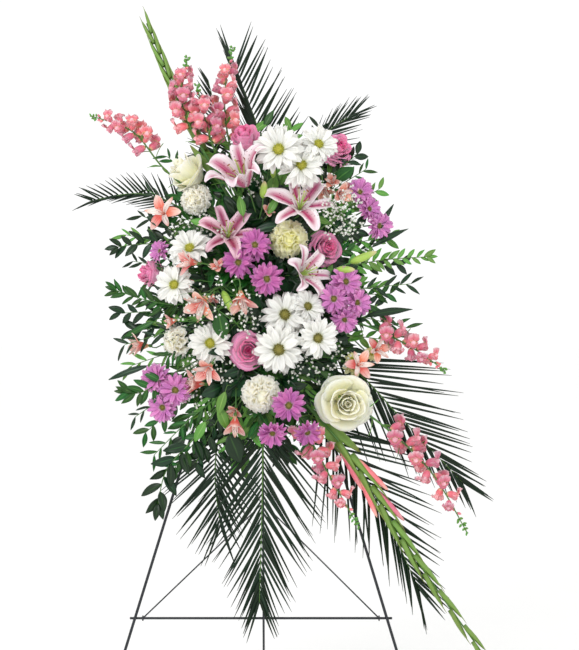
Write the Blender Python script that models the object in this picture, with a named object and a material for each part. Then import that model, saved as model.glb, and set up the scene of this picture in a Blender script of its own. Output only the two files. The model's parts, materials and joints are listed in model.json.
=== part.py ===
"""A standing funeral spray: fresh flowers in a foam block on a folding wire easel.

The picture plane is the plane of the easel's front legs, which leans back. A place in the
spray is given as (across, up, out): millimetres to the right of the centre line, above the
floor, and forward of that leaning plane. Metres in the scene, +Z up, the front towards -Y.
"""
import math
import random

import bmesh
import bpy
from mathutils import Matrix, Vector
from mathutils.bvhtree import BVHTree

MM = 0.001
SEED = 11

# Easel
LEAN = 0.17
LEAN_LEVEL = 832.0
FOOT_ACROSS = 311.0
APEX_UP = 1016.0
LEG_RADIUS = 3.0
LEG_TOP = 3.3
BELOW_FLOOR = 30.0
RUNNING_GAP = 0.5
BAR_RADIUS = 2.5
BRACE_RADIUS = 1.5
CROSS_BAR_UP = 196.0
CROSS_BAR_HALF = 262.0
TOP_BAR_UP = 900.0
TOP_BAR_HALF = 52.0
BAR_BEHIND = LEG_RADIUS + BAR_RADIUS + 0.4
REAR_FOOT_BACK = 300.0
EYE_ACROSS = 236.0
EYE_WIRE = 1.5
REAR_EYE_WIRE = 1.8
COIL_GAP = 0.6
COIL_UP = 394.0
WIRE_SIDES = 8

# Foam block and the plate that hangs it on the top bar
FOAM_HALF = 75.0
FOAM_LOW = 640.0
FOAM_HIGH = 1030.0
FOAM_BACK = 9.0
FOAM_FRONT = 88.0
PLATE_THICK = 5.4
PLATE_OUT = 3.3
HOOK_ACROSS = 24.0
HOOK_WIDE = 8.0
HOOK_THICK = 2.0
HOOK_DROP = 10.0
PLATE_SHORT = 4.0
HOOK_LAP = 1.0
STEM_DEEP = 26.0
HOLE_CLEAR = 0.45
HOLE_DEEPER = 0.3
MOUTH_OUT = 3.0
MOUTH_SPACING = 9.0
MOUTH_EDGE = 8.0
MOUTH_END = 10.0
MOUTH_RISE = 0.55
MOUTH_ACROSS = 0.30
MOUTH_TURN = 2.4
STEM_AIM = 0.45

# Spray
SHEET = 0.8
EYE_RISE = 0.05
STEM_RADIUS = 1.9
TWIG_RADIUS = 1.5
FOOT_RADIUS = 0.35
NECK = 14.0
FORWARD_STEP = 6.0
FORWARD_TRIES = 34
TOUCH_MARGIN = 0.0005
SCRAP = 0.02
ENTRY_TRIES = 60
FORK = 0.4

PAINT = ("easel_paint", (0.012, 0.020, 0.030), 0.38, 0.6)
PLASTIC = ("plate_plastic", (0.020, 0.085, 0.040), 0.5, 0.0)
FOAM = ("floral_foam", (0.035, 0.110, 0.050), 0.95, 0.0)
PALM = ("palm_leaf", (0.018, 0.055, 0.020), 0.45, 0.0)
LEAF = ("leaf_green", (0.040, 0.120, 0.028), 0.45, 0.0)
SHEATH = ("gladiolus_green", (0.170, 0.300, 0.060), 0.5, 0.0)
CORAL = ("snapdragon_pink", (0.720, 0.150, 0.190), 0.6, 0.0)
LILY = ("lily_pink", (0.750, 0.300, 0.420), 0.5, 0.0)
ORCHID = ("rose_pink", (0.740, 0.300, 0.560), 0.6, 0.0)
CREAM = ("rose_cream", (0.860, 0.830, 0.570), 0.6, 0.0)
IVORY = ("carnation_cream", (0.850, 0.820, 0.620), 0.7, 0.0)
WHITE = ("daisy_white", (0.860, 0.850, 0.800), 0.6, 0.0)
VIOLET = ("daisy_violet", (0.560, 0.190, 0.500), 0.6, 0.0)
SALMON = ("alstroemeria_salmon", (0.830, 0.400, 0.320), 0.55, 0.0)
MIST = ("gypsophila_white", (0.740, 0.780, 0.660), 0.7, 0.0)


def clear_scene():
    for found in list(bpy.data.objects):
        bpy.data.objects.remove(found, do_unlink=True)


def material(finish):
    name, colour, roughness, metallic = finish
    made = bpy.data.materials.get(name)
    if made is None:
        made = bpy.data.materials.new(name)
        made.use_nodes = True
        shader = made.node_tree.nodes["Principled BSDF"]
        shader.inputs["Base Color"].default_value = (*colour, 1.0)
        shader.inputs["Roughness"].default_value = roughness
        shader.inputs["Metallic"].default_value = metallic
        made.diffuse_color = (*colour, 1.0)
    return made


def plane_back(up):
    """How far behind the world's XZ plane the leaning plane is at a height, in millimetres."""
    return (up - LEAN_LEVEL) * LEAN


def spot(across, up, out=0.0):
    """The world point of a place in the spray."""
    return Vector((across, plane_back(up) - out, up)) * MM


def facing(turn, tilt):
    """The direction a bloom looks: turned to the right and tilted up, in degrees."""
    side = math.radians(turn)
    rise = math.radians(tilt)
    return Vector((math.sin(side) * math.cos(rise), -math.cos(side) * math.cos(rise), math.sin(rise)))


def aim(place, direction, roll=0.0):
    """A matrix that puts a local +Z along a direction at a place."""
    turned = direction.to_track_quat("Z", "Y").to_matrix().to_4x4()
    return Matrix.Translation(place) @ turned @ Matrix.Rotation(math.radians(roll), 4, "Z")


def curve_points(controls, steps):
    """Points along a smooth curve through the control points."""
    ends = [controls[0] * 2 - controls[1]] + list(controls) + [controls[-1] * 2 - controls[-2]]
    points = []
    for index in range(1, len(ends) - 2):
        before, start, end, after = ends[index - 1:index + 3]
        for step in range(steps):
            part = step / steps
            points.append(0.5 * (2 * start + (end - before) * part
                                 + (2 * before - 5 * start + 4 * end - after) * part ** 2
                                 + (3 * start - before - 3 * end + after) * part ** 3))
    points.append(controls[-1].copy())
    return points


def outward(solid):
    """Turn every face of a closed solid outward."""
    bmesh.ops.recalc_face_normals(solid, faces=solid.faces[:])
    if solid.calc_volume(signed=True) < 0:
        bmesh.ops.reverse_faces(solid, faces=solid.faces[:])
    return solid


def loft(loops):
    """A closed solid through loops of corners, with its first and last loop capped."""
    solid = bmesh.new()
    rows = [[solid.verts.new(corner) for corner in loop] for loop in loops]
    sides = len(rows[0])
    for before, after in zip(rows, rows[1:]):
        for side in range(sides):
            beside = (side + 1) % sides
            solid.faces.new((before[side], before[beside], after[beside], after[side]))
    solid.faces.new(rows[0])
    solid.faces.new(rows[-1])
    return outward(solid)


def tube(points, radii, sides):
    """A closed round wire or stem along points, one radius to a point, in metres."""
    loops = []
    turned = None
    last = len(points) - 1
    for index, point in enumerate(points):
        along = points[min(index + 1, last)] - points[max(index - 1, 0)]
        if turned is None:
            turned = along.to_track_quat("Z", "Y")
        else:
            turned = (turned @ Vector((0, 0, 1))).rotation_difference(along) @ turned
        loop = []
        for side in range(sides):
            angle = math.tau * side / sides
            loop.append(point + turned @ (Vector((math.cos(angle), math.sin(angle), 0)) * radii[index]))
        loops.append(loop)
    return loft(loops)


def turned_loops(stations, segments, wave):
    """Loops about the axis: stations of (radius, height, wave share), in millimetres, with
    wave(angle, share) giving how far a corner is drawn in and down."""
    loops = []
    for radius, height, share in stations:
        loop = []
        for segment in range(segments):
            angle = math.tau * segment / segments
            drawn = wave(angle, share)
            loop.append(Vector(((radius - drawn) * math.cos(angle), (radius - drawn) * math.sin(angle),
                                height - drawn * 0.7)) * MM)
        loops.append(loop)
    return loops


def thicken(solid, surface):
    """Give a flat patch a second face and shape both: surface(corner, face) with face 0 or 1."""
    bmesh.ops.triangulate(solid, faces=solid.faces[:])
    near = list(solid.verts)
    made = bmesh.ops.extrude_face_region(solid, geom=solid.faces[:], use_keep_orig=True)["geom"]
    far = [item for item in made if isinstance(item, bmesh.types.BMVert)]
    for face, corners in enumerate((near, far)):
        for corner in corners:
            corner.co = surface(corner.co.copy(), face)
    return outward(solid)


def sheet(surface, columns, rows):
    """A thin closed blade: surface(across, along, face), across -1 to 1 and along 0 to 1."""
    solid = bmesh.new()
    bmesh.ops.create_grid(solid, x_segments=columns, y_segments=rows, size=1.0)
    return thicken(solid, lambda corner, face: surface(corner.x, (corner.y + 1) / 2, face))


def rosette(petals, corners, surface):
    """A thin closed rosette, some rim corners to a petal: surface(corner, angle, face)."""
    solid = bmesh.new()
    rim = petals * corners
    bmesh.ops.create_circle(solid, cap_ends=True, cap_tris=True, radius=1.0, segments=rim,
                            matrix=Matrix.Rotation(-math.pi / 2, 4, "Z"))

    def shape(corner, face):
        if corner.length < 0.5:
            return surface(None, 0.0, face)
        angle = math.atan2(corner.y, corner.x) % math.tau
        return surface(round(angle / math.tau * rim) % corners, angle, face)

    return thicken(solid, shape)


def opened(size, petals, reaches, rises, middle):
    """A flower of one whorl: reach and rise of each rim corner of a petal, as shares of its size."""
    def surface(corner, angle, face):
        if corner is None:
            return Vector((0, 0, middle * size + face * SHEET)) * MM
        reach = size * reaches[corner]
        rise = size * rises[corner] + face * SHEET
        return Vector((reach * math.cos(angle), reach * math.sin(angle), rise)) * MM
    return rosette(petals, len(reaches), surface)


def spindle(length, radius, sides=4):
    """A closed bud or pod along +Z from its foot."""
    points = [Vector((0, 0, length * part * MM)) for part in (0.0, 0.45, 1.0)]
    return tube(points, [radius * part * MM for part in (0.3, 1.0, 0.12)], sides)


def moved(solids, matrix):
    for solid in solids:
        solid.transform(matrix)
    return solids


def daisy(size, petals, pointed):
    """An open daisy: one rosette of petals about a raised eye."""
    if pointed:
        return [opened(size, petals, (0.22, 0.5), (0.02, 0.10), EYE_RISE)]
    return [opened(size, petals, (0.23, 0.5, 0.5), (0.02, 0.10, 0.10), EYE_RISE)]


def rose(size, height, openness=1.0):
    """A rose: petal rims in rings about a closed middle, scalloped, each outside the last."""
    flare = 0.42 + 0.08 * openness
    stations = ((0.05, -0.06, 0), (0.22, 0.10, 0), (flare - 0.07, 0.52, 0), (flare, 0.72, 1),
                (0.37, 0.66, 0), (0.35, 0.90, 1), (0.26, 0.74, 0), (0.22, 0.96, 1), (0.13, 0.78, 0),
                (0.09, 1.0, 0))
    scaled = [(size * radius, height * level, share * size * 0.05) for radius, level, share in stations]
    return [loft(turned_loops(scaled, 8, lambda angle, share: share * (1 + math.cos(4 * angle)) / 2))]


def carnation(size):
    """A carnation: ruffled rims in rings, close together, on a long cup."""
    stations = ((0.07, -0.32, 0), (0.12, -0.05, 0), (0.48, 0.02, 1), (0.42, 0.12, 0), (0.40, 0.20, 1),
                (0.28, 0.18, 0), (0.26, 0.30, 1), (0.10, 0.26, 0))
    scaled = [(size * radius, size * level, share * size * 0.09) for radius, level, share in stations]
    return [loft(turned_loops(scaled, 10, lambda angle, share: share * (1 + math.cos(5 * angle)) / 2))]


def lily(length, spread):
    """A stargazer lily: six long petals from a funnel, curling back at their tips, with a pistil."""
    rise = math.radians(64 - 52 * spread)
    tip = math.radians(58 - 62 * spread)
    reaches = (0.16, 0.60 * math.cos(rise), math.cos(tip), 0.60 * math.cos(rise))
    rises = (0.10, 0.60 * math.sin(rise), math.sin(tip), 0.60 * math.sin(rise))
    foot = Vector((0, 0, -0.05 * length * MM))
    tip_point = Vector((0, 0, 0.55 * length * MM))
    pistil = tube([foot, tip_point], [1.8 * MM, 1.2 * MM], 3)
    return [opened(length, 6, reaches, rises, 0.0), pistil]


def alstroemeria(length, spread=0.35):
    """A small lily-like funnel of five petals."""
    rise = math.radians(68 - 50 * spread)
    tip = math.radians(62 - 50 * spread)
    reaches = (0.20, 0.9 * math.cos(tip), 0.9 * math.cos(tip))
    rises = (0.16 * math.sin(rise), 0.9 * math.sin(tip), 0.9 * math.sin(tip))
    return [opened(length, 5, reaches, rises, 0.0)]


def leaf(length, width, fold=0.12, droop=0.15):
    """A leaf along +Y with its blade facing +Z, on a short sunk root."""
    def surface(across, along, face):
        wide = width / 2 * math.sin(math.pi * (0.012 + 0.95 * along)) ** 0.8
        rise = fold * width * across * math.sin(math.pi * along) - droop * length * along ** 2
        return Vector((across * wide, length * along, rise + face * SHEET)) * MM
    return sheet(surface, 1, 2)


class Spray:
    """The pieces already in place, and the holes that their stems need in the foam."""

    def __init__(self):
        self.trees = []
        self.foam_tree = None
        self.holes = []

    def tree(self, solids):
        points = []
        faces = []
        for solid in solids:
            first = len(points)
            solid.verts.index_update()
            points += [corner.co.copy() for corner in solid.verts]
            faces += [[first + corner.index for corner in face.verts] for face in solid.faces]
        return BVHTree.FromPolygons(points, faces, epsilon=TOUCH_MARGIN)

    def clear(self, solids, foam_too):
        tested = self.tree(solids)
        others = self.trees + ([self.foam_tree] if foam_too else [])
        return not any(tested.overlap(other) for other in others)

    def keep(self, solids):
        self.trees.append(self.tree(solids))


def islands(solid):
    """The corners of each connected body in a mesh."""
    waiting = set(solid.verts)
    found = []
    while waiting:
        island = {waiting.pop()}
        edge = list(island)
        while edge:
            corner = edge.pop()
            for link in corner.link_edges:
                other = link.other_vert(corner)
                if other in waiting:
                    waiting.remove(other)
                    island.add(other)
                    edge.append(other)
        found.append(island)
    return found


def island_volume(island):
    """The signed volume of a body: below nought for a hollow sealed inside another."""
    total = 0.0
    for face in {face for corner in island for face in corner.link_faces}:
        first, *others = [corner.co for corner in face.verts]
        for second, third in zip(others, others[1:]):
            total += first.dot(second.cross(third)) / 6.0
    return total


def keep_body(target):
    """Fill hollows that joining sealed, and drop loose scraps: only the main body stays."""
    solid = bmesh.new()
    solid.from_mesh(target.data)
    ranked = sorted(islands(solid), key=island_volume, reverse=True)
    main_volume = island_volume(ranked[0])
    for other in ranked[1:]:
        if island_volume(other) > SCRAP * main_volume:
            raise RuntimeError(f"{target.name} has a loose body")
        bmesh.ops.delete(solid, geom=list(other), context="VERTS")
    solid.to_mesh(target.data)
    solid.free()


def join(name, solids, finish, solver="MANIFOLD"):
    """One object from closed solids: the first is the base, and the rest are united with it."""
    objects = []
    for index, solid in enumerate(solids):
        mesh = bpy.data.meshes.new(f"{name}_{index}" if index else name)
        solid.to_mesh(mesh)
        solid.free()
        objects.append(bpy.data.objects.new(mesh.name, mesh))
    base = objects[0]
    bpy.context.scene.collection.objects.link(base)
    if len(objects) > 1:
        others = bpy.data.collections.new(name + "_pieces")
        bpy.context.scene.collection.children.link(others)
        for piece in objects[1:]:
            others.objects.link(piece)
        union = base.modifiers.new("union", "BOOLEAN")
        union.operation = "UNION"
        union.operand_type = "COLLECTION"
        union.collection = others
        union.solver = solver
        apply_modifiers(base)
        for piece in objects[1:]:
            bpy.data.objects.remove(piece, do_unlink=True)
        bpy.data.collections.remove(others)
        keep_body(base)
    base.name = name
    base.data.materials.clear()
    base.data.materials.append(material(finish))
    return base


def apply_modifiers(target):
    depsgraph = bpy.context.evaluated_depsgraph_get()
    baked = bpy.data.meshes.new_from_object(target.evaluated_get(depsgraph))
    target.modifiers.clear()
    target.data = baked


def smooth(target, sharp=40.0):
    target.data.shade_smooth()
    target.data.set_sharp_from_angle(angle=math.radians(sharp))


def bar(name, points, radius):
    made = join(name, [tube(points, [radius * MM] * len(points), WIRE_SIDES)], PAINT)
    smooth(made)
    return made


def leg_across(up):
    """Half the distance between the two front legs at a height."""
    return LEG_TOP + (FOOT_ACROSS - LEG_TOP) * (APEX_UP - up) / APEX_UP


def cut_at_floor(solid):
    """Cut a wire off flat at the floor."""
    bmesh.ops.bisect_plane(solid, geom=solid.verts[:] + solid.edges[:] + solid.faces[:], dist=1e-7,
                           plane_co=(0, 0, 0), plane_no=(0, 0, -1), clear_outer=True)
    rim = [edge for edge in solid.edges if edge.is_boundary]
    bmesh.ops.contextual_create(solid, geom=rim)
    return outward(solid)


def ring(centre, axis, inner, wire, steps=10):
    """A closed wire ring about an axis, as a turned circle."""
    solid = bmesh.new()
    major = (inner + wire) * MM
    upright = Matrix.Translation((major, 0, 0)) @ Matrix.Rotation(math.pi / 2, 4, "X")
    profile = bmesh.ops.create_circle(solid, radius=wire * MM, segments=6, matrix=upright)
    edges = list({edge for corner in profile["verts"] for edge in corner.link_edges})
    bmesh.ops.spin(solid, geom=edges, cent=(0, 0, 0), axis=(0, 0, 1), angle=math.tau, steps=steps,
                   use_merge=True)
    solid.transform(aim(centre, axis))
    return outward(solid)


def box(low, high):
    solid = bmesh.new()
    bmesh.ops.create_cube(solid, size=1.0)
    middle = (low + high) / 2
    size = high - low
    solid.transform(Matrix.Translation(middle) @ Matrix.Diagonal((*size, 1)))
    return solid


def lean(solid):
    """Shear an upright solid, whose y is 0 on the picture plane, into the leaning plane."""
    for corner in solid.verts:
        corner.co.y += plane_back(corner.co.z / MM) * MM
    return solid


def build_easel():
    """The two front legs, two bars, the hinged rear leg and the two brace wires."""
    for name, side in (("front_leg_left", -1), ("front_leg_right", 1)):
        apex = spot(side * leg_across(APEX_UP), APEX_UP)
        points = [apex, spot(side * leg_across(-BELOW_FLOOR), -BELOW_FLOOR)]
        solid = cut_at_floor(tube(points, [LEG_RADIUS * MM] * 2, WIRE_SIDES))
        smooth(join(name, [solid], PAINT))
    bars = (("cross_bar", CROSS_BAR_UP, CROSS_BAR_HALF), ("top_bar", TOP_BAR_UP, TOP_BAR_HALF))
    for name, up, half in bars:
        bar(name, [spot(side * half, up, -BAR_BEHIND) for side in (-1, 1)], BAR_RADIUS)
    hinge = spot(0, TOP_BAR_UP, -BAR_BEHIND)
    foot = Vector((0, REAR_FOOT_BACK * MM, 0))
    down = (foot - hinge).normalized()
    eye_inner = BAR_RADIUS + RUNNING_GAP
    eye_drop = eye_inner + EYE_WIRE
    leg_points = [hinge + down * eye_drop * MM, foot + down * BELOW_FLOOR * MM]
    leg = tube(leg_points, [BAR_RADIUS * MM] * 2, WIRE_SIDES)
    eye = ring(hinge, Vector((1, 0, 0)), eye_inner, REAR_EYE_WIRE)
    smooth(join("rear_leg", [cut_at_floor(leg), eye], PAINT))
    coil = hinge + down * ((TOP_BAR_UP - COIL_UP) / -down.z) * MM
    for name, side in (("brace_left", -1), ("brace_right", 1)):
        pivot = spot(side * EYE_ACROSS, CROSS_BAR_UP, -BAR_BEHIND)
        beside = BAR_RADIUS + COIL_GAP + BRACE_RADIUS
        end = coil + Vector((side * beside * MM, 0, 0))
        toward = (end - pivot).normalized()
        wire_points = [pivot + toward * eye_drop * MM, end]
        if side > 0:
            ahead = Vector((0, toward.y, toward.z)).normalized()
            turn_radius = beside * MM
            for step in range(1, 5):
                angle = math.pi * step / 6
                turned = Vector((math.cos(angle), 0, 0)) + ahead * math.sin(angle)
                wire_points.append(coil + turned * turn_radius)
        wire = tube(wire_points, [BRACE_RADIUS * MM] * len(wire_points), 6)
        hoop = ring(pivot, Vector((1, 0, 0)), eye_inner, EYE_WIRE)
        smooth(join(name, [wire, hoop], PAINT))


def build_plate():
    """The plastic plate behind the foam, with two hooks over the top bar."""
    plate = box(Vector((-FOAM_HALF, -PLATE_OUT - PLATE_THICK, FOAM_LOW + PLATE_SHORT)) * MM,
                Vector((FOAM_HALF, -PLATE_OUT, FOAM_HIGH - PLATE_SHORT)) * MM)
    pieces = [lean(plate)]
    hook_top = TOP_BAR_UP + BAR_RADIUS + RUNNING_GAP
    hook_back = BAR_BEHIND + BAR_RADIUS + RUNNING_GAP
    for side in (-1, 1):
        left = side * HOOK_ACROSS - HOOK_WIDE / 2
        right = left + HOOK_WIDE
        arm = box(Vector((left, -PLATE_OUT - HOOK_LAP, hook_top)) * MM,
                  Vector((right, hook_back + HOOK_THICK, hook_top + HOOK_THICK)) * MM)
        drop = box(Vector((left, hook_back, hook_top - HOOK_DROP)) * MM,
                   Vector((right, hook_back + HOOK_THICK, hook_top + HOOK_LAP)) * MM)
        pieces += [lean(arm), lean(drop)]
    join("foam_plate", pieces, PLASTIC)


def foam_solid():
    low = Vector((-FOAM_HALF, -FOAM_FRONT, FOAM_LOW)) * MM
    high = Vector((FOAM_HALF, -FOAM_BACK, FOAM_HIGH)) * MM
    return lean(box(low, high))


def foam_entry(across, up, rank):
    """Where a stem from a place in the spray enters the foam, and which way that face looks:
    the front, or for every other rank a side, with choices further off as rank grows."""
    ring_no = int(math.sqrt(rank))
    angle = rank * MOUTH_TURN
    reach = MOUTH_SPACING * ring_no
    middle = (FOAM_LOW + FOAM_HIGH) / 2
    level = middle + MOUTH_RISE * (up - middle) + reach * math.sin(angle)
    level = max(FOAM_LOW + MOUTH_END, min(FOAM_HIGH - MOUTH_END, level))
    if abs(across) > FOAM_HALF and rank % 2 == 0:
        side = math.copysign(FOAM_HALF + MOUTH_OUT, across)
        return spot(side, level, 50.0 + 24.0 * math.cos(angle)), Vector((-math.copysign(1, across), 0, 0))
    side = MOUTH_ACROSS * across + reach * math.cos(angle)
    side = max(-FOAM_HALF + MOUTH_EDGE, min(FOAM_HALF - MOUTH_EDGE, side))
    return spot(side, level, FOAM_FRONT + MOUTH_OUT), Vector((0, 1, 0))


def rooted_stem(start, heading, entry):
    """A stem from a bloom's base to its hole in the foam: the stem, its part outside the foam,
    and the hole's own line."""
    mouth, straight = entry
    inward = ((mouth - start).normalized() * STEM_AIM + straight * (1 - STEM_AIM)).normalized()
    deep = mouth + inward * STEM_DEEP * MM
    reach = (mouth - start).length * 0.3
    points = [start, start - heading * min(reach, NECK * MM), mouth, deep]
    radii = [FOOT_RADIUS * MM] + [STEM_RADIUS * MM] * 3
    wide = STEM_RADIUS + HOLE_CLEAR
    hole = (points[:3] + [deep + inward * HOLE_DEEPER * MM], [FOOT_RADIUS, FOOT_RADIUS, wide, wide])
    return tube(points, radii, 4), tube(points[:3], radii[:3], 4), hole


class Head:
    """One bloom: what makes it, where its visible middle is, where it looks, how high that middle
    is above its own base, and how far beside its axis the stem's fine end goes in."""

    def __init__(self, make, across, up, out, turn=0.0, tilt=0.0, centre=0.0, beside=4.0):
        self.make = make
        self.across = across
        self.up = up
        self.out = out
        self.look = facing(turn, tilt)
        self.centre = centre
        self.beside = beside

    def place(self, forward):
        return spot(self.across, self.up, self.out + forward)

    def frame(self, forward):
        return aim(self.place(forward) - self.look * self.centre * MM, self.look)

    def solids(self, forward):
        return moved(self.make(), self.frame(forward))

    def foot(self, forward):
        """Just inside the bloom's floor, found by looking up at it from below."""
        floor = BVHTree.FromBMesh(self.make()[0])
        below = Vector((self.beside * math.cos(0.13), self.beside * math.sin(0.13), -100)) * MM
        hit = floor.ray_cast(below, Vector((0, 0, 1)))[0]
        return self.frame(forward) @ (hit + Vector((0, 0, SHEET / 2 * MM)))


def dome(across, up):
    """How far out a bloom sits: the spray bulges towards its middle."""
    ratio = (across / 250.0) ** 2 + ((up - 850.0) / 330.0) ** 2
    return 52.0 + 78.0 * max(0.0, 1.0 - ratio)


def plant(spray, name, heads, finish):
    """Place a bunch: bring it forward until its heads and stems are clear, and join it."""
    for step in range(FORWARD_TRIES):
        forward = step * FORWARD_STEP
        blooms = [solid for head in heads for solid in head.solids(forward)]
        if not spray.clear(blooms, True):
            continue
        centre_across = sum(head.across for head in heads) / len(heads)
        centre_up = sum(head.up for head in heads) / len(heads)
        for rank in range(ENTRY_TRIES):
            entry = foam_entry(centre_across, centre_up, rank)
            mouth = entry[0]
            if len(heads) == 1:
                stem, outer, hole = rooted_stem(heads[0].foot(forward), heads[0].look, entry)
                stems = [stem]
                outside = [outer]
            else:
                nearest = min(head.out for head in heads) + forward
                knot = mouth.lerp(spot(centre_across, centre_up, nearest), FORK)
                stem, outer, hole = rooted_stem(knot, (knot - mouth).normalized(), entry)
                twigs = []
                for number, head in enumerate(heads):
                    into = knot.lerp(mouth, 0.1 + 0.5 * number / len(heads))
                    foot = head.foot(forward)
                    neck = foot - head.look * NECK * MM
                    radii = [FOOT_RADIUS * MM, TWIG_RADIUS * MM, FOOT_RADIUS * MM]
                    twigs.append(tube([foot, neck, into], radii, 3))
                stems = [stem] + twigs
                outside = [outer] + twigs
            if spray.clear(stems, False) and not spray.tree(outside).overlap(spray.foam_tree):
                solids = stems + blooms
                spray.keep(solids)
                spray.holes.append(hole)
                return join(name, solids, finish)
    raise RuntimeError(f"no clear place for {name}")


def arch(across, up):
    """How far a frond's blade bows forward of its layer, the same rule for every frond."""
    return 26.0 * (math.hypot(across, up - LEAN_LEVEL) / 600.0) ** 2


def frond_blade(rib, leaflets, width, out):
    """A palm frond's leaflets, cut to the midrib in one thin arched outline: leaflets is a list
    of (place along the rib, direction in degrees from level, length), by side."""
    solid = bmesh.new()
    half = 0.8
    for side in (0, 1):
        edge = []
        for along, angles, length in leaflets:
            place = along * (len(rib) - 1)
            index = min(int(place), len(rib) - 2)
            along_rib = (rib[index + 1] - rib[index]).normalized()
            beside = Vector((-along_rib.y, along_rib.x, 0)) * (half if side == 0 else -half)
            root = rib[index].lerp(rib[index + 1], place - index) + beside
            first = solid.verts.new(root - along_rib * width * 0.5)
            second = solid.verts.new(root + along_rib * width * 0.5)
            edge += [first, second]
            if angles[side] is not None:
                turn = math.radians(angles[side])
                tip = solid.verts.new(root + Vector((math.cos(turn), math.sin(turn), 0)) * length)
                solid.faces.new((first, second, tip))
        if side == 0:
            left = edge
        else:
            for index in range(len(edge) - 1):
                solid.faces.new((left[index], left[index + 1], edge[index + 1], edge[index]))
    bmesh.ops.recalc_face_normals(solid, faces=solid.faces[:])
    return thicken(solid, lambda corner, face: spot(corner.x, corner.y,
                                                    out + arch(corner.x, corner.y) + (face - 0.5) * SHEET))


def palm_leaflets(count, near, far, left, right, reach):
    """Leaflets by rule: angles and lengths run evenly from the first along the rib to the last.
    Left and right are as seen when looking along the rib towards its tip."""
    made = []
    for index in range(count):
        along = near + (far - near) * index / (count - 1)
        part = index / (count - 1)
        length = reach[0] + (reach[1] - reach[0]) * part
        length *= 0.94 + 0.12 * random.random()
        angles = [side[0] + (side[1] - side[0]) * part if side else None for side in (left, right)]
        made.append((along, angles, length))
    return made


def palm(spray, name, fronds, level):
    """A palm node: fronds that share a stem, each in a layer of its own behind the flowers."""
    solids = []
    for index, (controls, leaflets, width) in enumerate(fronds):
        out = level + index * 3.0
        rib = curve_points([Vector((across, up, 0)) for across, up in controls], 4)
        start = math.ceil(leaflets[0][0] * (len(rib) - 1))
        path = [spot(point.x, point.y, out + arch(point.x, point.y)) for point in rib[:start + 1]]
        solids.append(tube(path, [STEM_RADIUS * MM] * len(path), 4))
        solids.append(frond_blade(rib, leaflets, width, out))
        spray.holes.append(hole_along(path, STEM_RADIUS))
    spray.keep(solids)
    return join(name, solids, PALM)


def hole_along(path, radius):
    """The line and radius of a stem's hole: the stem's own bends, from a little behind its end
    to just outside the foam."""
    points = [path[0] - (path[1] - path[0]).normalized() * 0.3 * MM]
    for start, end in zip(path, path[1:]):
        if inside_foam(end):
            points.append(end)
            continue
        way = (end - start).normalized()
        point = start.copy()
        while inside_foam(point) or inside_foam(point - way * 3 * MM):
            point += way * 2 * MM
        points.append(point + way * 3 * MM)
        break
    return points, [radius + HOLE_CLEAR] * len(points)


def inside_foam(point):
    up = point.z / MM
    out = plane_back(up) - point.y / MM
    return (abs(point.x / MM) < FOAM_HALF + 1 and FOAM_LOW - 1 < up < FOAM_HIGH + 1
            and FOAM_BACK - 1 < out < FOAM_FRONT + 1)


def spike(spray, name, controls, out, make, finish):
    """A tall spike: a stem from inside the foam, with what make(points) puts along it."""
    for step in range(FORWARD_TRIES):
        forward = step * FORWARD_STEP * 0.5
        places = curve_points([Vector((across, up, 0)) for across, up in controls], 2)
        count = len(places) - 1
        path = []
        for index, place in enumerate(places):
            part = index / count
            path.append(spot(place.x, place.y, out[0] + (out[1] + forward - out[0]) * part))
        radii = [(2.8 - 1.6 * index / count) * MM for index in range(count + 1)]
        dressed = make(path)
        solids = [tube(path, radii, 4)] + dressed
        if spray.clear(solids, False) and not spray.tree(dressed).overlap(spray.foam_tree):
            spray.holes.append(hole_along(path, 2.8))
            spray.keep(solids)
            return join(name, solids, finish)
    raise RuntimeError(f"no clear place for {name}")


def floret(size):
    """A snapdragon floret: a short tube that opens to two lips."""
    solid = tube([Vector((0, 0, 0)), Vector((0, 0, size * MM))], [0.5 * MM, 0.42 * size * MM], 4)
    for corner in solid.verts:
        if corner.co.z > 0.5 * size * MM and corner.co.y > -0.1 * size * MM:
            corner.co.z += 0.3 * size * MM * (1 if corner.co.y > 0.1 * size * MM else 0.2)
    return solid


def snapdragon(count, size, bare):
    """Florets in a spiral up the spike, smaller and closed towards its tip."""
    def make(path):
        made = []
        for index in range(count):
            part = bare + (0.99 - bare) * index / (count - 1)
            place = part * (len(path) - 1)
            low = min(int(place), len(path) - 2)
            point = path[low].lerp(path[low + 1], place - low)
            along = (path[low + 1] - path[low]).normalized()
            turn = index * 137.5
            side = along.orthogonal().normalized()
            side.rotate(Matrix.Rotation(math.radians(turn), 3, along))
            look = (side + along * (0.35 + 0.9 * part)).normalized()
            grown = size * (1.0 - 0.62 * max(0.0, (part - bare) / (1.0 - bare)) ** 1.5)
            made += moved([floret(grown)], aim(point, look, turn))
        return made
    return make


def gladiolus(count, length, bare):
    """Sheathed buds in two ranks up the spike, overlapping, longest at the foot."""
    def make(path):
        made = []
        for index in range(count):
            part = bare + (0.97 - bare) * index / (count - 1)
            place = part * (len(path) - 1)
            low = min(int(place), len(path) - 2)
            point = path[low].lerp(path[low + 1], place - low)
            along = (path[low + 1] - path[low]).normalized()
            beside = along.cross(Vector((0, 1, 0))).normalized() * (1 if index % 2 else -1)
            look = (along + beside * 0.16).normalized()
            grown = length * (1.0 - 0.45 * index / (count - 1))
            made += moved([spindle(grown, grown * 0.11)], aim(point + beside * 1.5 * MM, look))
        return made
    return make


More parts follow.
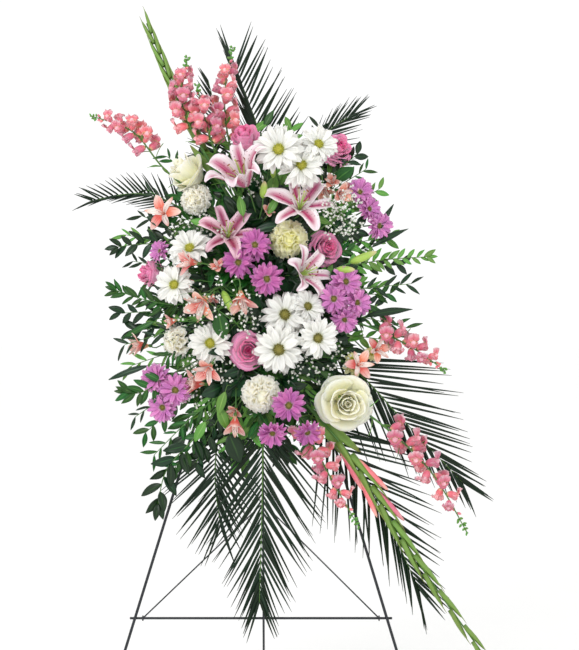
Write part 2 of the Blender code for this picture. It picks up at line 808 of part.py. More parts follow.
def leafy(leaves):
    """Leaves at given places along a stem: (part along, side, length, width)."""
    def make(path):
        made = []
        for part, turn, length, width in leaves:
            place = part * (len(path) - 1)
            low = min(int(place), len(path) - 2)
            point = path[low].lerp(path[low + 1], place - low)
            along = (path[low + 1] - path[low]).normalized()
            out = Vector((0, -1, 0))
            beside = along.cross(out).normalized()
            angle = math.radians(turn)
            heading = (along * math.cos(angle) + beside * math.sin(angle) + out * 0.25).normalized()
            normal = (out - heading * out.dot(heading)).normalized()
            sideways = heading.cross(normal)
            turned = Matrix((sideways, heading, normal)).transposed().to_4x4()
            made += moved([leaf(length, width)], Matrix.Translation(point) @ turned)
        return made
    return make


def paired(count, first, last, turn, length, width):
    """Leaves in alternate sides along a stem."""
    made = []
    for index in range(count):
        part = first + (last - first) * index / (count - 1)
        side = 1 if index % 2 else -1
        made.append((part, side * turn * (1 - 0.4 * part), length * (1 - 0.35 * part),
                     width * (1 - 0.3 * part)))
    return made


def build_palms(spray):
    """Seven palm fronds, two pairs of them joined, in layers from the back of the foam."""
    top = ([(12, 1002), (14, 1090), (-12, 1200), (-58, 1318)],
           palm_leaflets(13, 0.30, 0.99, (118, 112), (62, 66), (120, 62)), 7.0)
    top_left = ([(12, 1002), (-40, 1090), (-84, 1190), (-112, 1290)],
                palm_leaflets(11, 0.34, 0.98, (158, 118), None, (130, 40)), 5.5)
    palm(spray, "palm_top", [top, top_left], 16)
    left = ([(-48, 968), (-150, 1016), (-250, 1052), (-352, 1036)],
            palm_leaflets(10, 0.36, 0.97, (186, 202), (104, 158), (72, 46)), 6.5)
    palm(spray, "palm_left", [left], 27)
    upper_right = ([(46, 1004), (84, 1100), (130, 1176), (190, 1218)],
                   palm_leaflets(9, 0.34, 0.98, (66, 50), (8, 22), (110, 42)), 4.5)
    palm(spray, "palm_upper_right", [upper_right], 30)
    right = ([(50, 742), (176, 700), (282, 594), (400, 470)],
             palm_leaflets(11, 0.25, 0.98, (2, -34), (-72, -62), (225, 80)), 8.0)
    low_right = ([(50, 742), (122, 590), (226, 440), (312, 262)],
                 palm_leaflets(12, 0.34, 0.98, (-12, -46), (-92, -78), (205, 90)), 7.5)
    palm(spray, "palm_right", [right, low_right], 38)
    low_left = ([(-40, 676), (-84, 560), (-92, 470), (-80, 380)],
                palm_leaflets(8, 0.35, 0.97, (-52, -72), (-146, -112), (150, 90)), 6.5)
    palm(spray, "palm_low_left", [low_left], 20)
    bottom = ([(2, 672), (4, 560), (2, 400), (-2, 236)],
              palm_leaflets(17, 0.24, 0.99, (-54, -68), (-128, -112), (235, 60)), 8.0)
    palm(spray, "palm_bottom", [bottom], 50)


def build_spikes(spray):
    """Gladioli, snapdragons and leafy stems, from the foam's edges outward."""
    spike(spray, "gladiolus_top", [(-42, 1010), (-100, 1100), (-176, 1260), (-238, 1404)], (58, 84),
          gladiolus(8, 96, 0.42), SHEATH)
    spike(spray, "gladiolus_low", [(50, 664), (170, 532), (300, 330), (434, 142)], (58, 96),
          gladiolus(9, 110, 0.3), SHEATH)
    spike(spray, "snapdragon_left", [(-56, 990), (-190, 1092), (-262, 1176), (-348, 1208)], (62, 90),
          snapdragon(9, 24, 0.5), CORAL)
    spike(spray, "snapdragon_top_left", [(-30, 1004), (-120, 1140), (-162, 1236), (-150, 1324)], (66, 110),
          snapdragon(10, 26, 0.46), CORAL)
    spike(spray, "snapdragon_top", [(-10, 1008), (-62, 1140), (-76, 1250), (-60, 1352)], (70, 90),
          snapdragon(10, 26, 0.4), CORAL)
    spike(spray, "snapdragon_top_mid", [(-22, 1000), (-84, 1110), (-112, 1190), (-130, 1268)], (78, 130),
          snapdragon(7, 26, 0.5), CORAL)
    spike(spray, "snapdragon_right", [(56, 800), (180, 790), (290, 744), (368, 690)], (64, 84),
          snapdragon(9, 25, 0.5), CORAL)
    spike(spray, "snapdragon_low_mid", [(34, 664), (92, 566), (142, 474), (192, 388)], (66, 110),
          snapdragon(10, 26, 0.3), CORAL)
    spike(spray, "snapdragon_low_right", [(56, 700), (214, 604), (330, 500), (404, 376)], (74, 110),
          snapdragon(10, 27, 0.44), CORAL)
    spike(spray, "leafy_left_upper", [(-56, 920), (-160, 944), (-240, 946), (-290, 940)], (70, 74),
          leafy(paired(7, 0.5, 0.97, 52, 48, 24)), LEAF)
    spike(spray, "leafy_left_mid", [(-56, 850), (-160, 824), (-230, 832), (-292, 852)], (72, 74),
          leafy(paired(8, 0.44, 0.98, 50, 50, 20)), LEAF)
    spike(spray, "leafy_left_low", [(-56, 740), (-150, 700), (-232, 650), (-268, 648)], (72, 74),
          leafy(paired(7, 0.5, 0.98, 62, 52, 18)), LEAF)
    spike(spray, "leafy_trailing", [(-48, 664), (-130, 560), (-186, 496), (-202, 430)], (60, 76),
          leafy(paired(8, 0.4, 0.98, 66, 60, 28)), LEAF)
    spike(spray, "leafy_right", [(56, 880), (170, 900), (250, 914), (336, 920)], (64, 74),
          leafy(paired(9, 0.48, 0.98, 48, 46, 16)), LEAF)


def single(make, across, up, turn=0.0, tilt=0.0, extra=0.0, centre=0.0, beside=4.0):
    return Head(make, across, up, dome(across, up) + extra, turn, tilt, centre, beside)


def build_blooms(spray):
    """The blooms, from the rim of the spray to its middle."""
    pink = (("rose_top", -33, 1160, -10, 62, 58, 66, 0.5),
            ("rose_top_right", 158, 1145, 38, 30, 62, 54, 0.9),
            ("rose_right", 133, 936, 34, 6, 62, 50, 1.0), ("rose_left", -226, 887, -78, 4, 50, 62, 0.6),
            ("rose_middle", -24, 731, 0, 0, 70, 48, 1.0))
    for name, across, up, turn, tilt, size, height, openness in pink:
        plant(spray, name, [single(lambda: rose(size, height, openness), across, up, turn, tilt,
                                   centre=height * 0.6, beside=1.0)],
              ORCHID)
    plant(spray, "rose_cream_left",
          [single(lambda: rose(84, 64, 0.7), -156, 1096, -56, 26, centre=30, beside=1.0)], CREAM)
    plant(spray, "rose_cream_low",
          [single(lambda: rose(108, 60, 1.2), 170, 627, 8, -4, centre=36, beside=1.0)], CREAM)
    carnations = (("carnation_top_left", -137, 1040, 62, -16, 10), ("carnation_upper", 56, 954, 76, 4, 4),
                  ("carnation_left", -181, 749, 70, -52, 0), ("carnation_low", 1, 642, 74, 0, -14))
    for name, across, up, size, turn, tilt in carnations:
        plant(spray, name, [single(lambda: carnation(size), across, up, turn, tilt, centre=size * 0.2,
                                   beside=1.0)], IVORY)
    build_lilies(spray)
    build_daisies(spray)
    build_alstroemerias(spray)


def build_lilies(spray):
    """Four lilies, each with the buds of its own stem."""
    def bud(length, radius):
        return lambda: [spindle(length, radius, 5)]
    plant(spray, "lily_upper_left",
          [single(lambda: lily(104, 0.22), -30, 1068, -34, 44, 20),
           single(bud(38, 12), 4, 1036, 10, 60, 6, beside=0.5)], LILY)
    plant(spray, "lily_upper_right",
          [single(lambda: lily(86, 0.8), 78, 1018, 10, 14, 24, 12),
           single(bud(36, 9), 24, 1078, 0, 70, 6, beside=0.5)], LILY)
    plant(spray, "lily_left",
          [single(lambda: lily(80, 0.6), -66, 966, -6, 22, 22, 24),
           single(bud(64, 12), -76, 850, 36, -50, 0, beside=0.5)], LILY)
    plant(spray, "lily_right",
          [single(lambda: lily(76, 0.45), 84, 884, 40, 8, 20, 30),
           single(bud(58, 12), 178, 906, 76, 22, -6, beside=0.5),
           single(bud(42, 11), 150, 892, 60, 0, 10, beside=0.5)], LILY)


def build_daisies(spray):
    """White and violet spray daisies: several blooms to a stem."""
    def white(size):
        return lambda: daisy(size, 9, False)

    def violet(size):
        return lambda: daisy(size, 8, True)
    bunches = (
        ("daisy_white_top", WHITE, white, ((36, 1130, 100, -8, 12, 0), (80, 1100, 92, 8, 6, 26),
                                           (114, 1142, 80, 20, 20, 6))),
        ("daisy_white_left", WHITE, white, ((-142, 934, 88, -14, 34, 8), (-172, 862, 84, -18, 4, 14),
                                            (-100, 746, 88, -10, 0, 6))),
        ("daisy_white_middle", WHITE, white, ((48, 802, 94, 0, 8, 4), (92, 818, 72, 22, 18, -14))),
        ("daisy_white_low", WHITE, white, ((36, 734, 100, 0, -6, 2), (112, 756, 84, 12, 0, 14))),
        ("daisy_violet_middle", VIOLET, violet, ((-44, 906, 68, -10, 6, 8), (-12, 940, 66, 0, 16, 0),
                                                 (12, 874, 68, 4, -4, 14))),
        ("daisy_violet_right", VIOLET, violet, ((168, 868, 62, 18, 14, 0), (146, 834, 60, -6, 0, 12),
                                                (190, 826, 56, 34, 4, 0), (166, 794, 52, 8, -20, 0))),
        ("daisy_violet_upper_right", VIOLET, violet, ((200, 1052, 56, 14, 24, 0), (218, 1018, 50, 30, 10, 4),
                                                      (238, 984, 56, 34, -4, 4))),
        ("daisy_violet_low_left", VIOLET, violet, ((-208, 674, 60, -28, 10, 0), (-170, 652, 64, -8, 0, 10),
                                                   (-196, 618, 58, -20, -18, 0))),
        ("daisy_violet_low", VIOLET, violet, ((56, 624, 68, 0, 4, 0), (24, 572, 58, -6, -34, 4),
                                              (92, 572, 54, 14, -34, 0))),
        ("daisy_violet_left", VIOLET, violet, ((-202, 930, 46, -40, 14, 0),)),
    )
    for name, finish, kind, blooms in bunches:
        heads = [single(kind(size), across, up, turn, tilt, extra)
                 for across, up, size, turn, tilt, extra in blooms]
        plant(spray, name, heads, finish)


def build_alstroemerias(spray):
    """Small salmon lilies, several to a stem."""
    def flower(length, spread=0.35):
        return lambda: alstroemeria(length, spread)
    bunches = (
        ("alstroemeria_left", ((-196, 1006, 42, 0.75, -20, 16, 4), (-226, 740, 44, 0.1, -70, 0, 0))),
        ("alstroemeria_middle", ((-104, 838, 52, 0.35, -34, -34, 10), (-40, 852, 48, 0.2, 10, -60, 6),
                                 (-124, 904, 42, 0.2, -60, 6, 0))),
        ("alstroemeria_low", ((-96, 706, 44, 0.3, -24, -34, 4), (-110, 664, 44, 0.15, -70, 4, 2),
                              (-50, 604, 42, 0.15, -4, -60, 4))),
        ("alstroemeria_right", ((124, 1070, 36, 0.2, 10, -50, 0), (152, 1052, 38, 0.2, 30, -10, 0),
                                (190, 700, 38, 0.5, 20, 10, 0), (226, 730, 34, 0.5, 30, 10, 0))),
    )
    for name, blooms in bunches:
        heads = [single(flower(length, spread), across, up, turn, tilt, extra)
                 for across, up, length, spread, turn, tilt, extra in blooms]
        plant(spray, name, heads, SALMON)


def mist(spray, name, middle, spread, count):
    """Baby's breath: tiny round florets on twigs from one stem."""
    def make():
        made = []
        knot = Vector((0, 0, 0))
        for index in range(count):
            angle = index * 2.4
            reach = math.sqrt((index + 0.5) / count)
            end = Vector((spread[0] * reach * math.cos(angle), spread[1] * reach * math.sin(angle),
                          (34 + 16 * random.random()) * (1 - 0.3 * reach))) * MM
            along = (end - knot).normalized() * MM
            made.append(tube([knot, end - along * 3, end, end + along * 3],
                             [0.6 * MM, 0.5 * MM, 3.6 * MM, 0.6 * MM], 3))
        return made
    state = random.getstate()

    def repeatable():
        random.setstate(state)
        return [tube([Vector((0, 0, -6 * MM)), Vector((0, 0, 2 * MM))], [2 * MM, 2 * MM], 5)] + make()
    across, up = middle
    plant(spray, name, [Head(repeatable, across, up, dome(across, up) - 10, beside=0.5)], MIST)


def build_foam(spray):
    """The foam block, with a plain hole for each stem."""
    base = join("foam_block", [foam_solid()], FOAM)
    cutters = bpy.data.collections.new("stem_holes")
    bpy.context.scene.collection.children.link(cutters)
    made = []
    for index, (points, radii) in enumerate(spray.holes):
        mesh = bpy.data.meshes.new(f"hole_{index}")
        tube(points, [radius * MM for radius in radii], 4).to_mesh(mesh)
        cutter = bpy.data.objects.new(mesh.name, mesh)
        cutters.objects.link(cutter)
        made.append(cutter)
    cut = base.modifiers.new("holes", "BOOLEAN")
    cut.operation = "DIFFERENCE"
    cut.operand_type = "COLLECTION"
    cut.collection = cutters
    cut.solver = "MANIFOLD"
    apply_modifiers(base)
    for cutter in made:
        bpy.data.objects.remove(cutter, do_unlink=True)
    bpy.data.collections.remove(cutters)
    base.data.materials.clear()
    base.data.materials.append(material(FOAM))


def main():
    random.seed(SEED)
    clear_scene()
    build_easel()
    build_plate()
    spray = Spray()
    spray.foam_tree = spray.tree([foam_solid()])
    for made in list(bpy.context.scene.objects):
        solid = bmesh.new()
        solid.from_mesh(made.data)
        spray.keep([solid])
    build_palms(spray)
    build_spikes(spray)
    build_blooms(spray)
    mist(spray, "gypsophila_left", (-84, 812), (90, 60), 13)
    mist(spray, "gypsophila_right", (150, 980), (60, 80), 12)
    build_foam(spray)


main()
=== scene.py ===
"""The looks of a standing funeral spray: fresh flowers in a foam block on a folding wire easel.

A place in the spray is given as across, up and out, in millimetres: to the right of the centre
line, above the floor, and forward of the leaning plane of the easel's front legs. Every bloom,
leaf and spike stands where its CAD node does, in front of the foam that holds its stem.
"""

import json
import logging
import math
import random
from dataclasses import dataclass, field
from enum import Enum
from typing import Callable, Optional, Sequence

import bmesh
import bpy
from mathutils import Matrix, Vector

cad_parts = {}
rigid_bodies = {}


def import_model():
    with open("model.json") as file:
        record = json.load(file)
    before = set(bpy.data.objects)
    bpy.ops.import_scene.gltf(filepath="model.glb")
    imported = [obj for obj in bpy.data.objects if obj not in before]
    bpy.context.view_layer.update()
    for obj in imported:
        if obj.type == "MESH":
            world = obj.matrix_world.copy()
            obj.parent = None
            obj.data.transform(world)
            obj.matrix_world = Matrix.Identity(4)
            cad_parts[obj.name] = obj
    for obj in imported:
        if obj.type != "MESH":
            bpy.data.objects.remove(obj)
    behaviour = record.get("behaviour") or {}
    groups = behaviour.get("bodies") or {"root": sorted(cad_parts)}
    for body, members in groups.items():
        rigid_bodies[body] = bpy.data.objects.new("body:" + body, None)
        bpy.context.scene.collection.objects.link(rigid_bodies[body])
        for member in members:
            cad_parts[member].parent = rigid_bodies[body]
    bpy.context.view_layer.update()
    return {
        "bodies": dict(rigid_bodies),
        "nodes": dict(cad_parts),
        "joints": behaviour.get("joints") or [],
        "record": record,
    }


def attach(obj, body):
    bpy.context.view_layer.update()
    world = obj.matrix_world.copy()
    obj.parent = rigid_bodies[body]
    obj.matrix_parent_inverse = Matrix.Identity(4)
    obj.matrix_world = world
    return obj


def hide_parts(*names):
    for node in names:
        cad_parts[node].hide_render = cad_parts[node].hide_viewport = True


LOG = logging.getLogger("spray")
MM = 0.001
LEAN = 0.17
LEAN_LEVEL = 832.0
GOLDEN = math.radians(137.508)
UV_NAME = "UVMap"
SHADE = "shade"
BODY = "spray"
# Where loose stems may be rooted in the foam, in millimetres.
ROOT_HALF = 66
ROOT_LOW = 650
ROOT_HIGH = 1020
# The bulge that the blooms sit on, in millimetres: how far out its rim is, how much further out its
# middle is, how high its middle is above the floor, and its half width and half height.
DOME_RIM = 52
DOME_RISE = 78
DOME_MIDDLE = 850
DOME_HALF_WIDE = 250
DOME_HALF_TALL = 330

Shape = Callable[[float, float], Vector]


def place(across: float, up: float, out: float = 0.0) -> Vector:
    """A place in the spray as a point of the scene.

    Args:
        across: millimetres right of the centre line.
        up: millimetres above the floor.
        out: millimetres forward of the leaning plane of the front legs.

    Returns:
        The point in metres.
    """
    return Vector((across, (up - LEAN_LEVEL) * LEAN - out, up)) * MM


def facing(turn: float, tilt: float) -> Vector:
    """The direction a bloom looks, turned to the right and tilted up, in degrees."""
    side, rise = math.radians(turn), math.radians(tilt)
    return Vector((math.sin(side) * math.cos(rise), -math.cos(side) * math.cos(rise), math.sin(rise)))


def aim(point: Vector, direction: Vector, roll: float = 0.0) -> Matrix:
    """A matrix that stands a local +Z along a direction at a point, rolled by radians."""
    turned = direction.to_track_quat("Z", "Y").to_matrix().to_4x4()
    return Matrix.Translation(point) @ turned @ spun(roll)


def lifted(height: float) -> Matrix:
    """A move along local Z, in millimetres."""
    return Matrix.Translation((0, 0, height * MM))


def spun(angle: float, axis: str = "Z") -> Matrix:
    """A turn about a local axis, in radians."""
    return Matrix.Rotation(angle, 4, axis)


def mix(low: float, high: float, part: float) -> float:
    """The value a part of the way from low to high."""
    return low + (high - low) * part


def clamp(value: float, low: float, high: float) -> float:
    """The value, held between low and high."""
    return max(low, min(high, value))


def swell(part: float) -> float:
    """How full a petal is a part of the way along it: nothing at 0 and 1, all of it half way."""
    return math.sin(math.pi * part)


def rooted(across: float, up: float, out: float = 80.0) -> Vector:
    """The point inside the foam that is nearest to a place."""
    return place(clamp(across, -ROOT_HALF, ROOT_HALF), clamp(up, ROOT_LOW, ROOT_HIGH), out)


def sample(path: Sequence[Vector], part: float) -> tuple[Vector, Vector]:
    """A point a part of the way along a path, and the path's direction there."""
    spot = part * (len(path) - 1)
    low = min(int(spot), len(path) - 2)
    return path[low].lerp(path[low + 1], spot - low), (path[low + 1] - path[low]).normalized()


def curved(controls: Sequence[Vector], steps: int) -> list[Vector]:
    """A smooth path through its control points.

    Args:
        controls: the points that it passes through.
        steps: stretches between each two of them.

    Returns:
        The path's points.
    """
    made = []
    last = len(controls) - 1
    for index in range(last):
        before, start = controls[max(index - 1, 0)], controls[index]
        end, after = controls[index + 1], controls[min(index + 2, last)]
        for step in range(steps):
            t = step / steps
            made.append(0.5 * (2 * start + (end - before) * t
                               + (2 * before - 5 * start + 4 * end - after) * t * t
                               + (3 * start - before - 3 * end + after) * t * t * t))
    made.append(controls[last].copy())
    return made


def linear(code: str) -> tuple[float, float, float, float]:
    """An sRGB hex colour as linear values."""
    parts = [int(code[index:index + 2], 16) / 255 for index in (1, 3, 5)]
    turned = [part / 12.92 if part <= 0.04045 else ((part + 0.055) / 1.055) ** 2.4 for part in parts]
    return (*turned, 1.0)


class Shading:
    """A material's node tree, built by short calls that each give back an output socket."""

    def __init__(self, name: str) -> None:
        """Starts a material with an empty tree."""
        self.material = bpy.data.materials.new(name)
        self.material.use_nodes = True
        self.tree = self.material.node_tree
        self.tree.nodes.clear()

    def add(self, kind: str, values: Optional[dict] = None, output: int | str = 0) -> bpy.types.NodeSocket:
        """Adds a node.

        Args:
            kind: the node's type, without the first word that all of them share.
            values: constants or sockets by input name, input number or property name.
            output: the output that is wanted.

        Returns:
            The output's socket.
        """
        made = self.tree.nodes.new(f"ShaderNode{kind}")
        for key, value in (values or {}).items():
            if isinstance(value, bpy.types.NodeSocket):
                self.tree.links.new(value, made.inputs[key])
            elif isinstance(key, int) or key in made.inputs:
                made.inputs[key].default_value = value
            else:
                setattr(made, key, value)
        return made.outputs[output]

    def math(self, operation: str, *values) -> bpy.types.NodeSocket:
        """A sum on one or two values."""
        return self.add("Math", {"operation": operation, **dict(enumerate(values))})

    def span(self, value: bpy.types.NodeSocket, low: float, high: float, start: float = 0.0,
             end: float = 1.0, kind: str = "LINEAR") -> bpy.types.NodeSocket:
        """Carries a value from the range low to high over to start to end."""
        return self.add("MapRange", {"interpolation_type": kind, "Value": value, "From Min": low,
                                     "From Max": high, "To Min": start, "To Max": end})

    def blend(self, share: bpy.types.NodeSocket, under, code: str) -> bpy.types.NodeSocket:
        """Lays a hex colour over another by a share."""
        return self.add("Mix", {"data_type": "RGBA", 0: share, 6: under, 7: linear(code)}, 2)

    def ramp(self, value: bpy.types.NodeSocket, stops: Sequence[tuple[float, str]]) -> bpy.types.NodeSocket:
        """Hex colours at stops along a value."""
        colour = self.add("ValToRGB", {"Fac": value})
        elements = colour.node.color_ramp.elements
        while len(elements) < len(stops):
            elements.new(0.5)
        for element, (position, code) in zip(elements, stops):
            element.position = position
            element.color = linear(code)
        return colour

    def close(self, settings: dict) -> bpy.types.Material:
        """Ends the tree in a principled shader and gives the material."""
        shader = self.add("BsdfPrincipled", settings)
        end = self.tree.nodes.new("ShaderNodeOutputMaterial")
        self.tree.links.new(shader, end.inputs["Surface"])
        return self.material


@dataclass(frozen=True)
class PlantFinish:
    """A petal, leaf or stem: colours that run along it and across it, fine streaks with a
    relief of their own, and a shade that differs a little from one petal to the next."""

    name: str
    root: str
    body: str
    tip: str
    root_end: float = 0.25
    tip_start: float = 0.75
    band: Optional[str] = None
    band_wide: float = 0.5
    rim: Optional[str] = None
    rim_power: float = 6.0
    streak: Optional[str] = None
    streak_share: float = 0.35
    streaks: float = 14.0
    spots: Optional[str] = None
    vary: float = 0.16
    roughness: float = 0.55
    sheen: float = 0.15
    soft: float = 0.0
    relief: float = 0.25
    specular: float = 0.5

    def build(self) -> bpy.types.Material:
        """The finish as a material."""
        shading = Shading(self.name)
        uv = shading.add("UVMap", {"uv_map": UV_NAME})
        across = shading.add("SeparateXYZ", {"Vector": uv})
        along = across.node.outputs["Y"]
        shade = shading.add("Attribute", {"attribute_name": SHADE}, "Fac")
        centred = shading.math("ABSOLUTE", shading.math("SUBTRACT", across, 0.5))
        aside = shading.math("MULTIPLY", centred, 2.0)
        colour = shading.ramp(along, ((0.0, self.root), (self.root_end, self.body),
                                      (self.tip_start, self.body), (1.0, self.tip)))
        grain = shading.add("CombineXYZ", {"X": shading.math("MULTIPLY", across, self.streaks),
                                           "Y": shading.math("MULTIPLY", along, 2.2),
                                           "Z": shading.math("MULTIPLY", shade, 37.0)})
        noise = shading.add("TexNoise", {"Scale": 1.0, "Detail": 2.0, "Vector": grain})
        if self.band:
            side = shading.span(aside, self.band_wide, 0.0, kind="SMOOTHSTEP")
            fade = shading.span(along, 1.0, 0.55, kind="SMOOTHSTEP")
            colour = shading.blend(shading.math("MULTIPLY", side, fade), colour, self.band)
        if self.rim:
            edge = shading.math("POWER", shading.math("MAXIMUM", aside, along), self.rim_power)
            inner = shading.span(shade, 0.2, 0.75, 1.0, 0.3)
            colour = shading.blend(shading.math("MULTIPLY", edge, inner), colour, self.rim)
        if self.streak:
            share = shading.span(noise, 0.44, 0.66, end=self.streak_share)
            colour = shading.blend(share, colour, self.streak)
        if self.spots:
            grid = shading.add("Mapping", {"Scale": (7.0, 17.0, 1.0), "Vector": uv})
            dot = shading.span(shading.add("TexVoronoi", {"Scale": 1.0, "Vector": grid}), 0.26, 0.16)
            spread = shading.math("MULTIPLY", dot, shading.span(along, 0.75, 0.45))
            colour = shading.blend(spread, colour, self.spots)
        value = shading.span(shade, 0.0, 1.0, 1.0 - self.vary, 1.0 + self.vary * 0.5)
        hue = shading.span(shade, 0.0, 1.0, 0.5 - self.vary * 0.07, 0.5 + self.vary * 0.07)
        toned = shading.add("HueSaturation", {"Hue": hue, "Value": value, "Color": colour})
        bump = shading.add("Bump", {"Strength": self.relief, "Distance": 0.4 * MM, "Height": noise})
        settings = {"Roughness": self.roughness, "Sheen Weight": self.sheen, "Sheen Roughness": 0.4,
                    "Specular IOR Level": self.specular, "Base Color": toned, "Normal": bump}
        if self.soft:
            settings.update({"Subsurface Weight": self.soft, "Subsurface Scale": 0.006,
                             "Subsurface Radius": (1.0, 0.85, 0.75)})
        return shading.close(settings)


@dataclass(frozen=True)
class SolidFinish:
    """Paint, moulded plastic, foam or a painted floor: one colour, mottled and bumped."""

    name: str
    colour: str
    mottle: str
    grain: float
    roughness: float
    metallic: float = 0.0
    relief: float = 0.2
    depth: float = 0.1
    coat: float = 0.0
    cells: bool = False

    def build(self) -> bpy.types.Material:
        """The finish as a material."""
        shading = Shading(self.name)
        spot = shading.add("TexCoord", output="Object")
        pattern = shading.add("TexVoronoi" if self.cells else "TexNoise",
                              {"Scale": 1.0 / (self.grain * MM), "Vector": spot})
        cloud = shading.add("TexNoise", {"Scale": 1.0 / (self.grain * 9 * MM), "Detail": 4.0, "Vector": spot})
        colour = shading.blend(shading.span(cloud, 0.35, 0.7), linear(self.colour), self.mottle)
        bump = shading.add("Bump", {"Strength": self.relief, "Distance": self.depth * MM, "Height": pattern})
        return shading.close({"Roughness": self.roughness, "Metallic": self.metallic,
                              "Coat Weight": self.coat, "Base Color": colour, "Normal": bump})


# Baked enamel on steel wire: a smooth dark coat with the faint ripple that dipping leaves.
ENAMEL = SolidFinish("enamelled_steel_wire", "#0C151E", "#080E15", 1.6, 0.42, 0.0, 0.25, 0.05, 0.1)
# Injection-moulded polypropylene: fine matt grain.
MOULDED = SolidFinish("moulded_polypropylene", "#1E4A30", "#173C27", 0.8, 0.5, 0.0, 0.2, 0.05)
# Phenolic floral foam: open cells, dull, wet-dark in clouds. Its green is darker than the foam's own:
# painted shade, so that glimpses of it between the blooms read as shadow.
WET_AND_SHADED_FOAM = SolidFinish("phenolic_foam", "#2C5A34", "#1D4226", 1.6, 0.95, 0.0, 0.8, 0.6, 0.0, True)
# Painted studio floor: matt, almost white.
FLOOR = SolidFinish("painted_floor", "#FBFBFA", "#FAFAF9", 60.0, 0.9, 0.0, 0.02, 0.1)

# Petals are thin wet tissue that lets light through, with a soft sheen and fine veins; on the white
# daisy its grey streaks are painted shade.
# White daisy petal: clean white over a green foot, with grey streaks along it that are painted shade.
WHITE_PETAL = PlantFinish("daisy_white_petal", "#CFD59E", "#FAF9F3", "#FDFCF8", 0.28, streak="#DADACD",
                          streak_share=0.5, streaks=9.0, vary=0.14, soft=0.3, relief=0.5)
# Violet daisy petal: red-violet with dark grooves and a pale foot.
VIOLET_PETAL = PlantFinish("daisy_violet_petal", "#F0C6E2", "#CE6CB6", "#DA86C4", 0.28, 0.7,
                           streak="#9C3388", streak_share=0.45, streaks=9.0, vary=0.22, soft=0.25, relief=0.4)
# Mauve daisy petal: the same, a tone lighter.
MAUVE_PETAL = PlantFinish("daisy_mauve_petal", "#F4D4EA", "#DC84C8", "#E79CD4", 0.28, 0.7,
                          streak="#B24A9E", streak_share=0.45, streaks=9.0, vary=0.22, soft=0.25, relief=0.4)
# Orchid rose petal: pale pink with a crimson rim that is strongest in the heart.
ORCHID_PETAL = PlantFinish("rose_orchid_petal", "#FBECD8", "#FFC9E6", "#FF98CC", 0.2, 0.75, rim="#E4086A",
                           rim_power=4.8, streak="#F8AAD8", streak_share=0.3, vary=0.08, sheen=0.2, soft=0.5)
# Cream rose petal: velvety ivory, yellow at its foot, partly its own colour and partly painted shade
# of the bloom's depth.
CREAM_PETAL = PlantFinish("rose_cream_petal", "#F2EB80", "#FFFCD6", "#FFFDE8", 0.42, 0.78,
                          streak="#FAF5BC", streak_share=0.3, vary=0.04, sheen=0.2, soft=0.6)
# Cream carnation petal: crisp, warm in its folds.
FRILL_PETAL = PlantFinish("carnation_cream_petal", "#F6EEA6", "#FFF8DC", "#FFFCEE", 0.4, 0.85,
                          streak="#F8F0CC", streak_share=0.3, streaks=16.0, vary=0.03, soft=0.6, relief=0.15)
# Lemon carnation petal: the same in pale yellow.
LEMON_PETAL = PlantFinish("carnation_lemon_petal", "#E8E05C", "#F9F3A0", "#FCF8C4", 0.4, 0.85,
                          streak="#EFE78C", streak_share=0.3, streaks=16.0, vary=0.05, soft=0.65, relief=0.2)
# Stargazer lily petal: a crimson band between white edges, with dark freckles.
LILY_PETAL = PlantFinish("lily_pink_petal", "#CBDC84", "#FAEFF2", "#F6E2E8", 0.15, 0.88, band="#B01560",
                         band_wide=0.84, streak="#DE98B2", streak_share=0.4, streaks=12.0, spots="#6E103C",
                         vary=0.12, soft=0.25, relief=0.6)
# Darker lily petal: its band is wider and nearer to wine red.
LILY_DARK = PlantFinish("lily_crimson_petal", "#C6D08A", "#F6D3DF", "#F5D2DD", 0.12, 0.88, band="#900F48",
                        band_wide=0.92, streak="#B8426F", streak_share=0.45, streaks=12.0, spots="#5E0A2E",
                        vary=0.12, soft=0.2, relief=0.6)
# Paler lily petal: mostly white, its band narrow and pink.
LILY_PALE = PlantFinish("lily_pale_petal", "#BCD078", "#F8EEF0", "#F2D6DF", 0.22, 0.88, band="#C44C80",
                        band_wide=0.56, streak="#E7BBC9", streak_share=0.45, streaks=12.0, spots="#9A3A64",
                        vary=0.12, soft=0.25, relief=0.6)
# Outer alstroemeria petal: salmon with red veins and a cream tip.
SALMON_PETAL = PlantFinish("alstroemeria_salmon_petal", "#E8D89C", "#EE6A5A", "#FCE3D8", 0.28, 0.5,
                           streak="#D03428", streak_share=0.5, streaks=8.0, vary=0.2, soft=0.25, relief=0.4)
# Inner alstroemeria petal: cream with dark flecks.
PALE_PETAL = PlantFinish("alstroemeria_pale_petal", "#E8E2A8", "#F8E6DC", "#F2A493", 0.3, 0.7,
                         streak="#7C2A2E", streak_share=0.5, streaks=7.0, vary=0.14, soft=0.3, relief=0.4)
# Snapdragon petal: coral pink velvet that pales at its lip.
CORAL_PETAL = PlantFinish("snapdragon_coral_petal", "#E8C987", "#E6748A", "#FAC8D2", 0.2, 0.4,
                          streak="#D4506C", streak_share=0.4, streaks=9.0, vary=0.22, soft=0.25, sheen=0.3,
                          relief=0.4)
# Snapdragon bud: green below, coral above.
CORAL_BUD = PlantFinish("snapdragon_coral_bud", "#B2B462", "#E97C8C", "#F0AEA6", 0.35, 0.7, vary=0.2,
                        soft=0.2)
# Baby's breath petal: chalk white.
MIST_PETAL = PlantFinish("gypsophila_petal", "#D8E0C6", "#EDEEE6", "#F4F4EE", vary=0.1)

# Leaves have a waxy skin over green, a paler midrib and parallel veins.
# Palm blade: almost black green, dull.
PALM_BLADE = PlantFinish("palm_blade", "#16341A", "#0B2411", "#081D0D", 0.1, 0.9, band="#19391C",
                         band_wide=0.3, streak="#081509", streak_share=0.4, streaks=7.0, vary=0.3,
                         roughness=0.42, sheen=0.0, specular=0.25)
